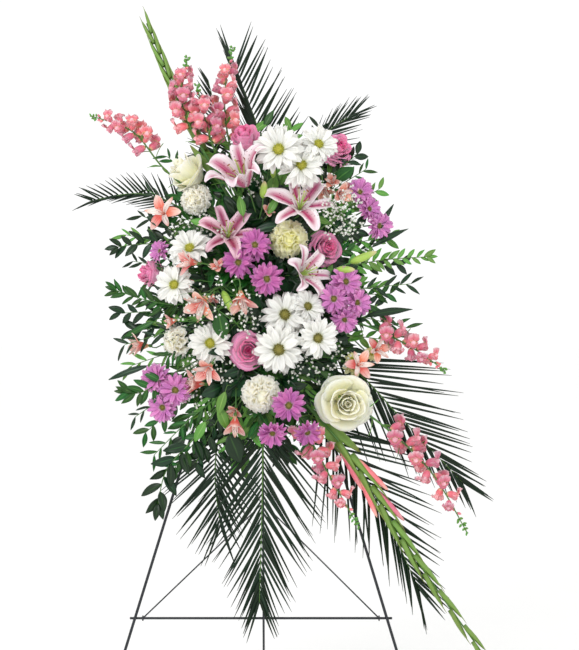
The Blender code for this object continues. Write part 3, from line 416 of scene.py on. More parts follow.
# Ruscus leaf: deep green and glossy.
DARK_LEAF = PlantFinish("ruscus_leaf", "#234C1C", "#103216", "#143A1A", 0.1, 0.9, band="#2A5A24",
                        band_wide=0.16, streak="#08200E", streak_share=0.5, streaks=13.0, vary=0.35,
                        roughness=0.32, sheen=0.0, specular=0.35)
# Myrtle leaf: mid green with a clear pale rib.
MID_LEAF = PlantFinish("myrtle_leaf", "#44762A", "#245C1C", "#306C22", 0.1, 0.9, band="#528A36",
                       band_wide=0.14, streak="#164212", streak_share=0.45, streaks=10.0, vary=0.34,
                       roughness=0.38, sheen=0.0, specular=0.35)
# Snapdragon leaf: light fresh green.
FRESH_LEAF = PlantFinish("snapdragon_leaf", "#6FA040", "#5C9636", "#69A13E", 0.1, 0.9, band="#8CBB5C",
                         band_wide=0.14, streak="#467A2B", streak_share=0.4, streaks=9.0, vary=0.22,
                         roughness=0.45, sheen=0.05)
# Gladiolus sheath: grey-green, browner at its tip.
SHEATH = PlantFinish("gladiolus_sheath", "#5E7F34", "#76993F", "#86803E", 0.2, 0.75, streak="#5F8436",
                     streak_share=0.45, streaks=12.0, vary=0.16, roughness=0.45, sheen=0.05)
# Cut stem: juicy green, ribbed.
GREEN_STEM = PlantFinish("green_stem", "#4E7A34", "#4E7A34", "#5A8A3A", streak="#3A6228", streak_share=0.4,
                         streaks=4.0, vary=0.2, roughness=0.45, sheen=0.05)
# Lily bud: bright green, paler at its tip.
GREEN_BUD = PlantFinish("lily_bud", "#86B03E", "#A8CC58", "#D9C29A", 0.3, 0.7, streak="#869F44",
                        streak_share=0.4, streaks=6.0, vary=0.12, roughness=0.45)
# Disc of a white daisy: grainy, yellow-green.
DISC = PlantFinish("daisy_disc", "#8E8F2C", "#B9B836", "#CFCB4E", vary=0.3, roughness=0.7)
# Disc of a violet daisy: grainy, olive.
DARK_DISC = PlantFinish("daisy_dark_disc", "#5E5A24", "#857F32", "#A19A44", vary=0.3, roughness=0.7)
# Lily anther: powdery rust brown.
ANTHER = PlantFinish("lily_anther", "#6E2E16", "#8A3B1C", "#8A3B1C", vary=0.2, roughness=0.8)

_built: dict[str, bpy.types.Material] = {}


def material_of(finish: PlantFinish | SolidFinish) -> bpy.types.Material:
    """The finish's material, built once."""
    if finish.name not in _built:
        _built[finish.name] = finish.build()
    return _built[finish.name]


class Forms:
    """Small closed shapes, in millimetres until they are placed, that pieces are gathered from."""

    @staticmethod
    def store(solid: bmesh.types.BMesh, name: str) -> bpy.types.Mesh:
        """Keeps a bmesh as a smooth form with room for its shade."""
        bmesh.ops.recalc_face_normals(solid, faces=solid.faces[:])
        if solid.calc_volume(signed=True) < 0:
            bmesh.ops.reverse_faces(solid, faces=solid.faces[:])
        mesh = bpy.data.meshes.new(name)
        solid.to_mesh(mesh)
        solid.free()
        mesh.shade_smooth()
        mesh.attributes.new(SHADE, "FLOAT", "POINT")
        return mesh

    @staticmethod
    def sheet(columns: int, rows: int, shape: Shape, thick: float = 0.5) -> bpy.types.Mesh:
        """A thin curved sheet with a map across and along it.

        Args:
            columns: faces across it.
            rows: faces along it.
            shape: the point in millimetres for across (-1 to 1) and along (0 to 1).
            thick: its thickness in millimetres.

        Returns:
            The form.
        """
        solid = bmesh.new()
        layer = solid.loops.layers.uv.new(UV_NAME)
        bmesh.ops.create_grid(solid, x_segments=columns, y_segments=rows, size=0.5)
        for face in solid.faces:
            for loop in face.loops:
                loop[layer].uv = (loop.vert.co.x + 0.5, loop.vert.co.y + 0.5)
        for corner in solid.verts:
            corner.co = shape(corner.co.x * 2, corner.co.y + 0.5) * MM
        bmesh.ops.recalc_face_normals(solid, faces=solid.faces[:])
        bmesh.ops.solidify(solid, geom=solid.faces[:], thickness=thick * MM)
        return Forms.store(solid, "sheet")

    @staticmethod
    def tube(points: Sequence[Vector], radii: Sequence[float], sides: int = 8) -> bpy.types.Mesh:
        """A round tube along a path in metres, closed at both ends.

        Args:
            points: the path.
            radii: its radius at each point, in millimetres.
            sides: faces around it.

        Returns:
            The form.
        """
        solid = bmesh.new()
        layer = solid.loops.layers.uv.new(UV_NAME)
        bmesh.ops.create_circle(solid, cap_ends=True, segments=sides, radius=1.0)
        way = (points[1] - points[0]).normalized()
        turn = Vector((0, 0, 1)).rotation_difference(way)
        ring = solid.verts[:]
        for corner in ring:
            corner.co = points[0] + turn @ (corner.co * radii[0] * MM)
        edges = solid.edges[:]
        for index in range(1, len(points)):
            grown = bmesh.ops.extrude_edge_only(solid, edges=edges)["geom"]
            ring = [item for item in grown if isinstance(item, bmesh.types.BMVert)]
            edges = [item for item in grown if isinstance(item, bmesh.types.BMEdge)]
            ahead = (points[min(index + 1, len(points) - 1)] - points[index - 1]).normalized()
            step = way.rotation_difference(ahead)
            for corner in ring:
                corner.co = points[index] + step @ (corner.co - points[index - 1]) * (
                    radii[index] / radii[index - 1])
            way = ahead
            for face in {face for corner in ring for face in corner.link_faces}:
                for loop in face.loops:
                    far = index if loop.vert in ring else index - 1
                    loop[layer].uv = (loop.index % 2, far / (len(points) - 1))
        bmesh.ops.contextual_create(solid, geom=edges)
        return Forms.store(solid, "tube")

    @staticmethod
    def bud(length: float, radius: float, sides: int = 8, rings: int = 6,
            waist: float = 0.0) -> bpy.types.Mesh:
        """A closed bud along +Z: fullest a little below its middle, pointed at its tip."""
        solid = bmesh.new()
        layer = solid.loops.layers.uv.new(UV_NAME)
        bmesh.ops.create_uvsphere(solid, u_segments=sides, v_segments=rings, radius=1.0)
        for face in solid.faces:
            for loop in face.loops:
                spot = loop.vert.co
                loop[layer].uv = (math.atan2(spot.y, spot.x) / math.tau + 0.5, (spot.z + 1) / 2)
        for corner in solid.verts:
            part = (corner.co.z + 1) / 2
            full = radius * (1 - 0.35 * part) * (1 - waist * swell(part))
            corner.co = Vector((corner.co.x * full, corner.co.y * full, length * part)) * MM
        return Forms.store(solid, "bud")


class Piece:
    """One finished mesh gathered from many petals, leaves and stems."""

    def __init__(self, name: str) -> None:
        """Starts an empty piece with a random order of its own, the same each run."""
        self.name = name
        self.solid = bmesh.new()
        self.finishes: list[PlantFinish | SolidFinish] = []
        self.random = random.Random(sum(ord(letter) * (index + 1) for index, letter in enumerate(name)))

    def add(self, form: bpy.types.Mesh, where: Matrix, finish: PlantFinish | SolidFinish,
            shade: Optional[float] = None) -> None:
        """Places a copy of a form.

        Args:
            form: the shape.
            where: its place and turn.
            finish: what it is made of.
            shade: 0 to 1, how light this one is; random if left out.
        """
        if finish not in self.finishes:
            self.finishes.append(finish)
        value = self.random.random() if shade is None else shade
        copy = form.copy()
        copy.transform(where)
        copy.attributes[SHADE].data.foreach_set("value", [value] * len(copy.vertices))
        copy.polygons.foreach_set("material_index", [self.finishes.index(finish)] * len(copy.polygons))
        self.solid.from_mesh(copy)
        bpy.data.meshes.remove(copy)

    def stem(self, points: Sequence[Vector], thick: float, thin: float, finish: PlantFinish = GREEN_STEM,
             sides: int = 6, shade: Optional[float] = None) -> None:
        """Adds a stem that tapers along its path, radii in millimetres."""
        last = len(points) - 1
        radii = [mix(thick, thin, index / last) for index in range(last + 1)]
        self.add(Forms.tube(points, radii, sides), Matrix.Identity(4), finish, shade)

    def close(self, slot: str, *nodes: str) -> None:
        """Makes the object, rides it on the spray and stands it in for its CAD nodes."""
        mesh = bpy.data.meshes.new(self.name)
        self.solid.to_mesh(mesh)
        self.solid.free()
        for finish in self.finishes:
            mesh.materials.append(material_of(finish))
        made = bpy.data.objects.new(self.name, mesh)
        bpy.context.scene.collection.objects.link(made)
        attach(made, BODY)
        if nodes:
            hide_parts(*nodes)
        LOG.info("%s: %d faces", self.name, len(mesh.polygons))


class Bed:
    """Reads from the CAD nodes how far out each head stands and where each stem is rooted."""

    foam_half = 75.0
    foam_low = 640.0
    foam_high = 1030.0
    foam_front = 88.0
    foam_back = 9.0

    def __init__(self, nodes: dict[str, bpy.types.Object]) -> None:
        """Keeps the corners of every node."""
        self.corners = {name: [corner.co.copy() for corner in made.data.vertices]
                        for name, made in nodes.items()}

    def front(self, node: str, across: float, up: float, reach: float) -> float:
        """How far forward, as a y in metres, a node comes within a reach of a place."""
        def away(corner: Vector) -> float:
            """How far a corner is from the place, seen from the front."""
            return math.hypot(corner.x - across * MM, corner.z - up * MM)
        near = [corner.y for corner in self.corners[node] if away(corner) < reach * MM]
        return min(near) if near else min(self.corners[node], key=away).y

    def inside(self, point: Vector, margin: float = 4.0) -> bool:
        """Whether a point lies in the foam block."""
        up = point.z / MM
        out = (up - LEAN_LEVEL) * LEAN - point.y / MM
        return (abs(point.x / MM) < self.foam_half - margin
                and self.foam_low + margin < up < self.foam_high - margin
                and self.foam_back + margin < out < self.foam_front - margin)

    def root(self, node: str) -> Vector:
        """Where a node's stem ends in the foam."""
        held = [corner for corner in self.corners[node] if self.inside(corner)]
        if not held:
            raise RuntimeError(f"{node} has no stem in the foam")
        return sum(held, Vector()) / len(held)


@dataclass(frozen=True)
class Head:
    """A bloom's place in the picture, its size and where it looks."""

    across: float
    up: float
    size: float
    turn: float
    tilt: float
    deep: float = 0.0

    def where(self, bed: Bed, node: str, centre: float, face: float, side: float, roll: float) -> Matrix:
        """The matrix that stands the bloom at its CAD head.

        Args:
            bed: the CAD nodes.
            node: the head's node.
            centre: how high its visible middle is above its base, in millimetres.
            face: how far it reaches ahead of that middle, in millimetres.
            side: how far it reaches beside its axis, in millimetres.
            roll: its turn about its own axis, in radians.

        Returns:
            The matrix, with the bloom's base at the local origin and its axis along +Z.
        """
        look = facing(self.turn, self.tilt)
        ahead = abs(look.y)
        reach = face * ahead + side * math.sqrt(max(0.0, 1 - ahead * ahead))
        front = bed.front(node, self.across, self.up, self.size * 0.42)
        middle = Vector((self.across * MM, front + (reach + self.deep) * MM, self.up * MM))
        return aim(middle - look * centre * MM, look, roll)


def root_stems(piece: Piece, bed: Bed, node: str, feet: Sequence[Matrix], thick: float = 2.2) -> None:
    """Runs a stem from the foam up to each head of a node.

    Args:
        piece: the piece that takes them.
        bed: the CAD nodes.
        node: the node whose stem enters the foam.
        feet: each head's matrix, its base at the origin.
        thick: the stem's radius at the foam, in millimetres.
    """
    start = bed.root(node)
    if len(feet) > 1:
        middle = sum((foot.translation for foot in feet), Vector()) / len(feet)
        fork = start.lerp(middle, 0.45)
        piece.stem([start, start.lerp(fork, 0.5), fork], thick, thick * 0.8)
        start = fork
    for foot in feet:
        base = foot.translation
        back = foot.to_3x3() @ Vector((0, 0, -1))
        reach = (base - start).length
        neck = base + back * min(reach * 0.35, 22 * MM)
        bend = start.lerp(neck, 0.55) + back * reach * 0.1
        piece.stem(curved([start, bend, neck, base + back * -2 * MM], 4), thick * 0.8, thick * 0.55)


@dataclass
class Daisy:
    """A spray daisy: rounds of grooved petals about a dome of tiny disc florets."""

    finish: PlantFinish
    disc_finish: PlantFinish
    rounds: tuple[int, ...] = (15, 14)
    petal_wide: float = 0.155
    disc: float = 0.115
    florets: int = 40

    def petal(self, size: float, lift: float, reach: float) -> bpy.types.Mesh:
        """One petal, grooved twice along its length, blunt and lightly notched at its tip."""
        wide = self.petal_wide * size / 2
        inner = size * self.disc * 0.55

        def shape(across: float, along: float) -> Vector:
            """A point of the form, in millimetres, from its place across (-1 to 1) and along (0 to 1)."""
            full = wide * swell(0.10 + 0.81 * along) ** 0.6 * (1.05 if along > 0.3 else 0.9)
            notch = 0.035 * size * along ** 6 * (abs(across) - 0.4) ** 2 * -4
            groove = 0.012 * size * math.cos(across * math.pi * 1.5)
            rise = size * (lift * along - 0.16 * along ** 2.4) - groove * swell(along)
            curl = 0.045 * size * across * across * along
            return Vector((across * full, inner + (reach * size / 2 - inner) * along + notch, rise + curl))
        return Forms.sheet(4, 6, shape, 0.45)

    def build(self, piece: Piece, where: Matrix, size: float) -> None:
        """Adds the bloom, with its green cup behind."""
        draw = piece.random.uniform
        for level, count in enumerate(self.rounds):
            lifts = [self.petal(size, 0.18 + 0.12 * level + draw(-0.05, 0.05), 1.0 - 0.09 * level)
                     for _ in range(4)]
            for index in range(count):
                turn = math.tau * (index + 0.5 * level) / count + draw(-0.10, 0.10)
                tip = spun(draw(-0.17, 0.13), "X") @ spun(draw(-0.3, 0.3), "Y")
                grow = Matrix.Diagonal((draw(0.85, 1.08), draw(0.88, 1.03), 1, 1))
                foot = where @ spun(turn) @ lifted(0.6 * level)
                piece.add(lifts[index % 4], foot @ tip @ grow, self.finish)
        disc = Forms.bud(size * 0.10, size * self.disc, 12, 6)
        piece.add(disc, where @ lifted(-1), self.disc_finish, 0.3)
        floret = Forms.bud(size * 0.045, size * 0.016, 5, 3)
        for index in range(self.florets):
            reach = math.sqrt((index + 0.5) / self.florets)
            lean = reach * 1.15
            tip = Vector((math.sin(lean) * math.cos(index * GOLDEN),
                          math.sin(lean) * math.sin(index * GOLDEN), math.cos(lean)))
            spot = Vector((tip.x * size * self.disc * 0.92, tip.y * size * self.disc * 0.92,
                           size * 0.075 * tip.z)) * MM
            light = 0.35 + 0.65 * (1 - reach) * piece.random.random() + 0.2 * reach
            stand = aim(spot, tip.lerp(Vector((0, 0, 1)), 0.5).normalized())
            piece.add(floret, where @ stand, self.disc_finish, light)
        piece.add(Forms.bud(size * 0.16, size * 0.13, 8, 5), where @ lifted(-size * 0.11), GREEN_STEM)


@dataclass(frozen=True)
class Whorl:
    """One round of a rose's petals, as shares of the bloom's size and height, from a closed
    bloom's to an open one's."""

    petals: int
    half_angle: float
    radius: tuple[float, float]
    height: tuple[float, float]
    roll: tuple[float, float]
    bowl: float


ROSE_WHORLS = (
    Whorl(3, 118, (0.045, 0.055), (1.02, 0.90), (0.0, 0.0), 2.2),
    Whorl(3, 92, (0.10, 0.115), (1.03, 0.94), (0.0, 0.01), 2.3),
    Whorl(4, 66, (0.16, 0.185), (1.02, 0.94), (0.01, 0.03), 2.4),
    Whorl(5, 54, (0.22, 0.27), (1.0, 0.86), (0.02, 0.05), 2.4),
    Whorl(5, 58, (0.28, 0.36), (0.92, 0.70), (0.03, 0.085), 2.1),
    Whorl(5, 57, (0.32, 0.44), (0.80, 0.50), (0.04, 0.10), 1.7),
    Whorl(5, 54, (0.34, 0.49), (0.66, 0.30), (0.05, 0.09), 1.35),
)
LOOSE_WHORLS = ROSE_WHORLS[:4] + ROSE_WHORLS[5:]


@dataclass
class Rose:
    """A rose: whorls of cupped petals about a tight spiral, the outer ones rolled back."""

    finish: PlantFinish
    openness: float = 1.0
    whorls: tuple[Whorl, ...] = ROSE_WHORLS

    def petal(self, whorl: Whorl, size: float, height: float, phase: float) -> bpy.types.Mesh:
        """One petal of a whorl, rolled and waved along its lip."""
        half = math.radians(whorl.half_angle)
        top = size * mix(*whorl.radius, self.openness)
        tall = height * mix(*whorl.height, self.openness)
        roll = size * mix(*whorl.roll, self.openness)

        def shape(across: float, along: float) -> Vector:
            """A point of the form, in millimetres, from its place across (-1 to 1) and along (0 to 1)."""
            narrow = swell(min(0.5, 0.16 + along * 0.52))
            close = 1.0 - 0.30 * max(0.0, along - 0.80) / 0.20 * abs(across)
            angle = across * half * narrow * close
            radius = size * 0.04 + (top - size * 0.04) * (1 - (1 - along) ** whorl.bowl)
            lip = max(0.0, along - 0.72) / 0.28
            peak = 1 - 0.55 * across * across
            radius += roll * lip ** 1.4 * peak + size * 0.010 * across
            lift = tall * along ** 1.15 - roll * 0.9 * lip ** 2.2 * peak
            lift -= tall * 0.16 * across ** 2 * along ** 2
            lift += size * 0.012 * math.sin(across * 4.2 + phase) * along ** 3
            radius += size * 0.010 * math.cos(across * 5.1 + phase * 2) * along ** 2
            return Vector((math.sin(angle) * radius, math.cos(angle) * radius, lift))
        return Forms.sheet(10, 9, shape, 0.6)

    def build(self, piece: Piece, where: Matrix, size: float, height: float) -> None:
        """Adds the bloom with its sepals and hip, about a closed heart."""
        draw = piece.random.uniform
        piece.add(Forms.bud(height * 0.58, size * 0.17, 12, 8), where, self.finish, 0.3)
        start = 0.0
        for number, whorl in enumerate(self.whorls):
            start += GOLDEN
            loose = number / (len(self.whorls) - 1)
            for index in range(whorl.petals):
                turn = start + math.tau * index / whorl.petals + draw(-0.10, 0.10)
                tilt = spun(draw(-0.15, 0.11) * loose, "X") @ spun(draw(-0.12, 0.12) * loose, "Y")
                grow = Matrix.Scale(draw(0.90, 1.06), 4)
                form = self.petal(whorl, size, height, draw(0, math.tau))
                piece.add(form, where @ spun(turn) @ tilt @ grow, self.finish,
                          mix(0.15, 1.0, loose) * draw(0.8, 1.0))

        def sepal(across: float, along: float) -> Vector:
            """A point of a sepal, in millimetres."""
            return Vector((across * size * 0.09 * (1 - along) ** 0.7, size * (0.06 + 0.36 * along),
                           size * (0.02 + 0.16 * along - 0.42 * along ** 2)))
        form = Forms.sheet(2, 6, sepal, 0.6)
        for index in range(5):
            piece.add(form, where @ spun(index * math.tau / 5 + 0.3), MID_LEAF)
        piece.add(Forms.bud(size * 0.22, size * 0.10, 10, 6), where @ lifted(-size * 0.12), GREEN_STEM)


@dataclass
class Carnation:
    """A carnation: many fan-shaped petals with pinked, ruffled ends in a long green cup."""

    finish: PlantFinish
    petals: int = 36

    def petal(self, size: float, part: float, wave: float) -> bpy.types.Mesh:
        """One ruffled petal, upright in the middle and level outside."""
        lean = math.radians(mix(12, 84, part ** 0.9))
        long = size * mix(0.44, 0.52, part)

        def shape(across: float, along: float) -> Vector:
            """A point of the form, in millimetres, from its place across (-1 to 1) and along (0 to 1)."""
            fan = size * mix(0.03, 0.33, along ** 1.3)
            frill = size * 0.075 * along ** 3 * math.sin(across * 5.6 + wave)
            pinked = size * 0.022 * along ** 8 * math.cos(across * 17 + wave)
            far = long * along * (1 - 0.10 * across * across * along) + pinked
            bend = lean * (0.55 + 0.5 * along)
            return Vector((across * fan, math.sin(bend) * far - math.cos(bend) * frill,
                           math.cos(bend) * far + math.sin(bend) * frill))
        return Forms.sheet(12, 5, shape, 0.4)

    def build(self, piece: Piece, where: Matrix, size: float) -> None:
        """Adds the bloom about a closed heart, and its cup."""
        draw = piece.random.uniform
        low = where @ lifted(-0.12 * size)
        piece.add(Forms.bud(size * 0.34, size * 0.34, 14, 8), low, self.finish, 0.2)
        for index in range(self.petals):
            form = self.petal(size, (index + 0.5) / self.petals, draw(0, math.tau))
            tilt = spun(draw(-0.14, 0.14), "X") @ spun(draw(-0.2, 0.2), "Y")
            piece.add(form, low @ spun(index * GOLDEN) @ tilt, self.finish)
        piece.add(Forms.bud(size * 0.42, size * 0.12, 10, 6), where @ lifted(-0.36 * size), GREEN_STEM)


@dataclass
class Lily:
    """A stargazer lily: six long petals that curl back, with stamens and a pistil."""

    finish: PlantFinish
    spread: float
    petals: int = 6
    wide: float = 0.38

    def petal(self, length: float, broad: float, curl: float, twist: float) -> bpy.types.Mesh:
        """One petal from the funnel's foot to its curled tip, waved along its edges."""
        rise = math.radians(64 - 52 * self.spread)
        tip = math.radians(58 - 62 * self.spread)
        path = curved([Vector((0, 0.02, 0.0)), Vector((0, 0.16, 0.14)),
                       Vector((0, 0.60 * math.cos(rise), 0.60 * math.sin(rise))),
                       Vector((0, 0.88 * math.cos(tip + 0.1), 0.88 * math.sin(tip + 0.1))),
                       Vector((0, math.cos(tip) + 0.01, math.sin(tip) - curl))], 6)

        def shape(across: float, along: float) -> Vector:
            """A point of the form, in millimetres, from its place across (-1 to 1) and along (0 to 1)."""
            point, way = sample(path, along)
            out = Vector((0, -way.z, way.y))
            full = self.wide * broad * 0.5 * swell(0.03 + 0.95 * along ** 0.9) ** 0.75
            wave = 0.040 * math.sin(along * 13 + across * 2.5 + twist * 9) * across ** 2 * swell(along)
            keel = 0.42 * full * across ** 2 - 0.020 * (1 - min(1.0, abs(across) * 4)) + wave
            sway = twist * 0.10 * along ** 2
            return (point + out * keel + Vector((across * full + sway, 0, 0))) * length
        return Forms.sheet(6, 14, shape, 0.7)

    def build(self, piece: Piece, where: Matrix, length: float) -> None:
        """Adds the flower."""
        draw = piece.random.uniform
        long = length * MM
        for index in range(self.petals):
            inner = index % 2
            form = self.petal(length, 1.16 if inner else 0.84, draw(0.04, 0.20), draw(-1, 1))
            turn = spun(math.tau * index / self.petals + draw(-0.06, 0.06))
            piece.add(form, where @ turn @ lifted(inner * 0.8), self.finish)
        for index in range(6):
            angle = math.tau * (index + 0.5) / 6
            aside = Vector((math.cos(angle), math.sin(angle), 0))
            path = [aside * 0.02 * long, (aside * 0.09 + Vector((0, 0, 0.30))) * long,
                    (aside * draw(0.17, 0.25) + Vector((0, 0, draw(0.55, 0.64)))) * long]
            piece.stem([where @ point for point in curved(path, 4)], 0.9, 0.9, GREEN_BUD)
            across = aim(path[2], Vector((-aside.y, aside.x, 0.25)).normalized())
            piece.add(Forms.bud(0.10 * length, 1.7, 6, 4), where @ across @ lifted(-0.05 * length), ANTHER)
        pistil = [Vector(), Vector((1.5, 0, 0.4 * length)) * MM, Vector((4, 1, 0.70 * length)) * MM]
        piece.stem([where @ point for point in curved(pistil, 4)], 1.3, 1.3, GREEN_BUD)
        piece.add(Forms.bud(4.0, 2.6, 8, 5), where @ Matrix.Translation(pistil[2]), GREEN_BUD)
        piece.add(Forms.bud(0.12 * length, 4.0, 8, 5), where @ lifted(-0.07 * length), GREEN_STEM)


@dataclass
class Alstroemeria:
    """A small salmon lily: three broad outer petals and three narrow streaked inner ones."""

    spread: float

    def petal(self, length: float, wide: float, lift: float) -> bpy.types.Mesh:
        """One spoon-shaped petal with a small point."""
        tip = math.radians(62 - 50 * self.spread + lift)

        def shape(across: float, along: float) -> Vector:
            """A point of the form, in millimetres, from its place across (-1 to 1) and along (0 to 1)."""
            full = wide * length * 0.5 * swell(0.04 + 0.93 * along ** 1.35) ** 0.8
            bend = mix(math.radians(84), tip, min(1.0, along * 1.2))
            back = length * 0.10 * max(0.0, along - 0.7) ** 1.5
            point = Vector((0, math.cos(bend), math.sin(bend))) * length * along * 0.98
            cup = 0.35 * full * across * across
            return point + Vector((across * full, -cup * math.sin(bend), cup * math.cos(bend) - back))
        return Forms.sheet(4, 9, shape, 0.5)

    def build(self, piece: Piece, where: Matrix, length: float) -> None:
        """Adds the flower with its stamens."""
        draw = piece.random.uniform
        kinds = ((self.petal(length, 0.46, draw(-3, 3)), SALMON_PETAL),
                 (self.petal(length * 0.98, 0.27, 9), PALE_PETAL))
        for index in range(6):
            form, finish = kinds[index % 2]
            piece.add(form, where @ spun(math.tau * index / 6 + draw(-0.08, 0.08)), finish)
        for index in range(5):
            angle = math.tau * index / 5 + 0.4
            top = Vector((0.10 * math.cos(angle), 0.10 * math.sin(angle), 0.72)) * length * MM
            piece.stem([where @ point for point in (Vector(), top * 0.5, top)], 0.5, 0.5, SALMON_PETAL, 5)
            piece.add(Forms.bud(2.6, 0.9, 5, 3), where @ Matrix.Translation(top), ANTHER)
        piece.add(Forms.bud(0.22 * length, 0.09 * length, 8, 5), where @ lifted(-0.12 * length), GREEN_STEM)


class LeafKind(Enum):
    """Leaf shapes: length to width, fold along the midrib, and droop of the tip."""

    RUSCUS = (0.42, 0.16, 0.16)
    MYRTLE = (0.36, 0.12, 0.10)
    LANCE = (0.22, 0.14, 0.16)
    STRAP = (0.16, 0.18, 0.22)
    BROAD = (0.62, 0.10, 0.20)


def leaf_form(kind: LeafKind, length: float, rows: int = 8) -> bpy.types.Mesh:
    """A leaf along +Y with its face to +Z.

    Args:
        kind: the leaf's shape.
        length: its length in millimetres.
        rows: faces along it.

    Returns:
        The form.
    """
    ratio, fold, droop = kind.value
    wide = ratio * length / 2

    def shape(across: float, along: float) -> Vector:
        """A point of the form, in millimetres, from its place across (-1 to 1) and along (0 to 1)."""
        full = wide * swell(0.02 + 0.965 * along ** 0.92) ** 0.85
        rise = fold * wide * 2 * abs(across) * swell(along) - droop * length * along ** 2
        wave = 0.02 * length * math.sin(along * 9) * across * along
        return Vector((across * full, length * along, rise + wave))
    return Forms.sheet(4, rows, shape, 0.5)


def leaf_frame(point: Vector, heading: Vector, up_side: Vector) -> Matrix:
    """A matrix that lays a leaf from a point along a heading with its face to up_side."""
    ahead = heading.normalized()
    normal = (up_side - ahead * up_side.dot(ahead)).normalized()
    sideways = ahead.cross(normal)
    return Matrix.Translation(point) @ Matrix((sideways, ahead, normal)).transposed().to_4x4()


def flank(way: Vector, index: int) -> Vector:
    """The direction to one side of a stem, which changes sides from each leaf to the next."""
    return way.cross(Vector((0, -1, 0))).normalized() * (1 if index % 2 else -1)


def spiral(way: Vector, index: int) -> Vector:
    """The direction away from a stem at a step of its leaf spiral."""
    side = way.orthogonal().normalized()
    side.rotate(Matrix.Rotation(index * GOLDEN, 3, way))
    return side


@dataclass
class Palm:
    """A feather palm frond: a rib and long narrow leaflets in two ranks, in one bowed layer."""

    node: str
    ribs: tuple
    level: float
    rib_step: float = 3.0
    bow_out: float = 26.0
    bow_reach: float = 600.0

    def bow(self, across: float, up: float) -> float:
        """How far the frond's blade bows forward of its layer."""
        return self.bow_out * (math.hypot(across, up - LEAN_LEVEL) / self.bow_reach) ** 2

    def leaflet(self, length: float, wide: float) -> bpy.types.Mesh:
        """A narrow folded blade along +Y that ends in a fine point."""
        def shape(across: float, along: float) -> Vector:
            """A point of the form, in millimetres, from its place across (-1 to 1) and along (0 to 1)."""
            full = 0.66 * wide / 2 * (min(1.0, 0.35 + along * 5) * (1 - along ** 2.2)) + 0.12
            rise = 0.55 * full * abs(across) - 0.045 * length * along ** 2.5
            return Vector((across * full, length * along, rise))
        return Forms.sheet(2, 9, shape, 0.4)

    def build(self) -> None:
        """Builds the node's fronds as one piece."""
        piece = Piece(f"fronds_{self.node}")
        draw = piece.random.uniform
        for layer, (controls, near, far, left, right, reach, wide, count) in enumerate(self.ribs):
            out = self.level + layer * self.rib_step
            rib = curved([Vector((across, up, 0)) for across, up in controls], 8)
            path = [place(point.x, point.y, out + self.bow(point.x, point.y)) for point in rib]
            piece.stem(path, 2.3, 0.6, sides=8, shade=0.2)
            for index in range(count):
                part = index / (count - 1)
                root = sample(path, mix(near, far, part))[0]
                for side, angles in ((-1, left), (1, right)):
                    if not angles:
                        continue
                    angle = math.radians(mix(*angles, part) + draw(-5, 5))
                    length = mix(*reach, part) * draw(0.86, 1.05)
                    across = root.x / MM + math.cos(angle) * length
                    up = root.z / MM + math.sin(angle) * length
                    heading = place(across, up, out + self.bow(across, up) + draw(-9, 9)) - root
                    form = self.leaflet(heading.length / MM, wide * draw(0.85, 1.1))
                    face = Vector((0.25 * side, -1, 0.2))
                    piece.add(form, leaf_frame(root, heading, face), PALM_BLADE)
        piece.close("palm_leaf", self.node)


@dataclass
class Spike:
    """A tall stem from the foam with florets, buds or leaves along it."""

    node: str
    controls: tuple
    out: tuple[float, float]

    def path(self, bed: Bed, steps: int = 6) -> list[Vector]:
        """The stem's line, which ends as far forward as the CAD spike does."""
        across, up = self.controls[-1]
        tip = bed.front(self.node, across, up, 22.0)
        end_out = (up - LEAN_LEVEL) * LEAN - tip / MM - 3.0
        points = curved([Vector((x, z, 0)) for x, z in self.controls], steps)
        last = len(points) - 1
        return [place(point.x, point.y, mix(self.out[0], end_out, index / last))
                for index, point in enumerate(points)]


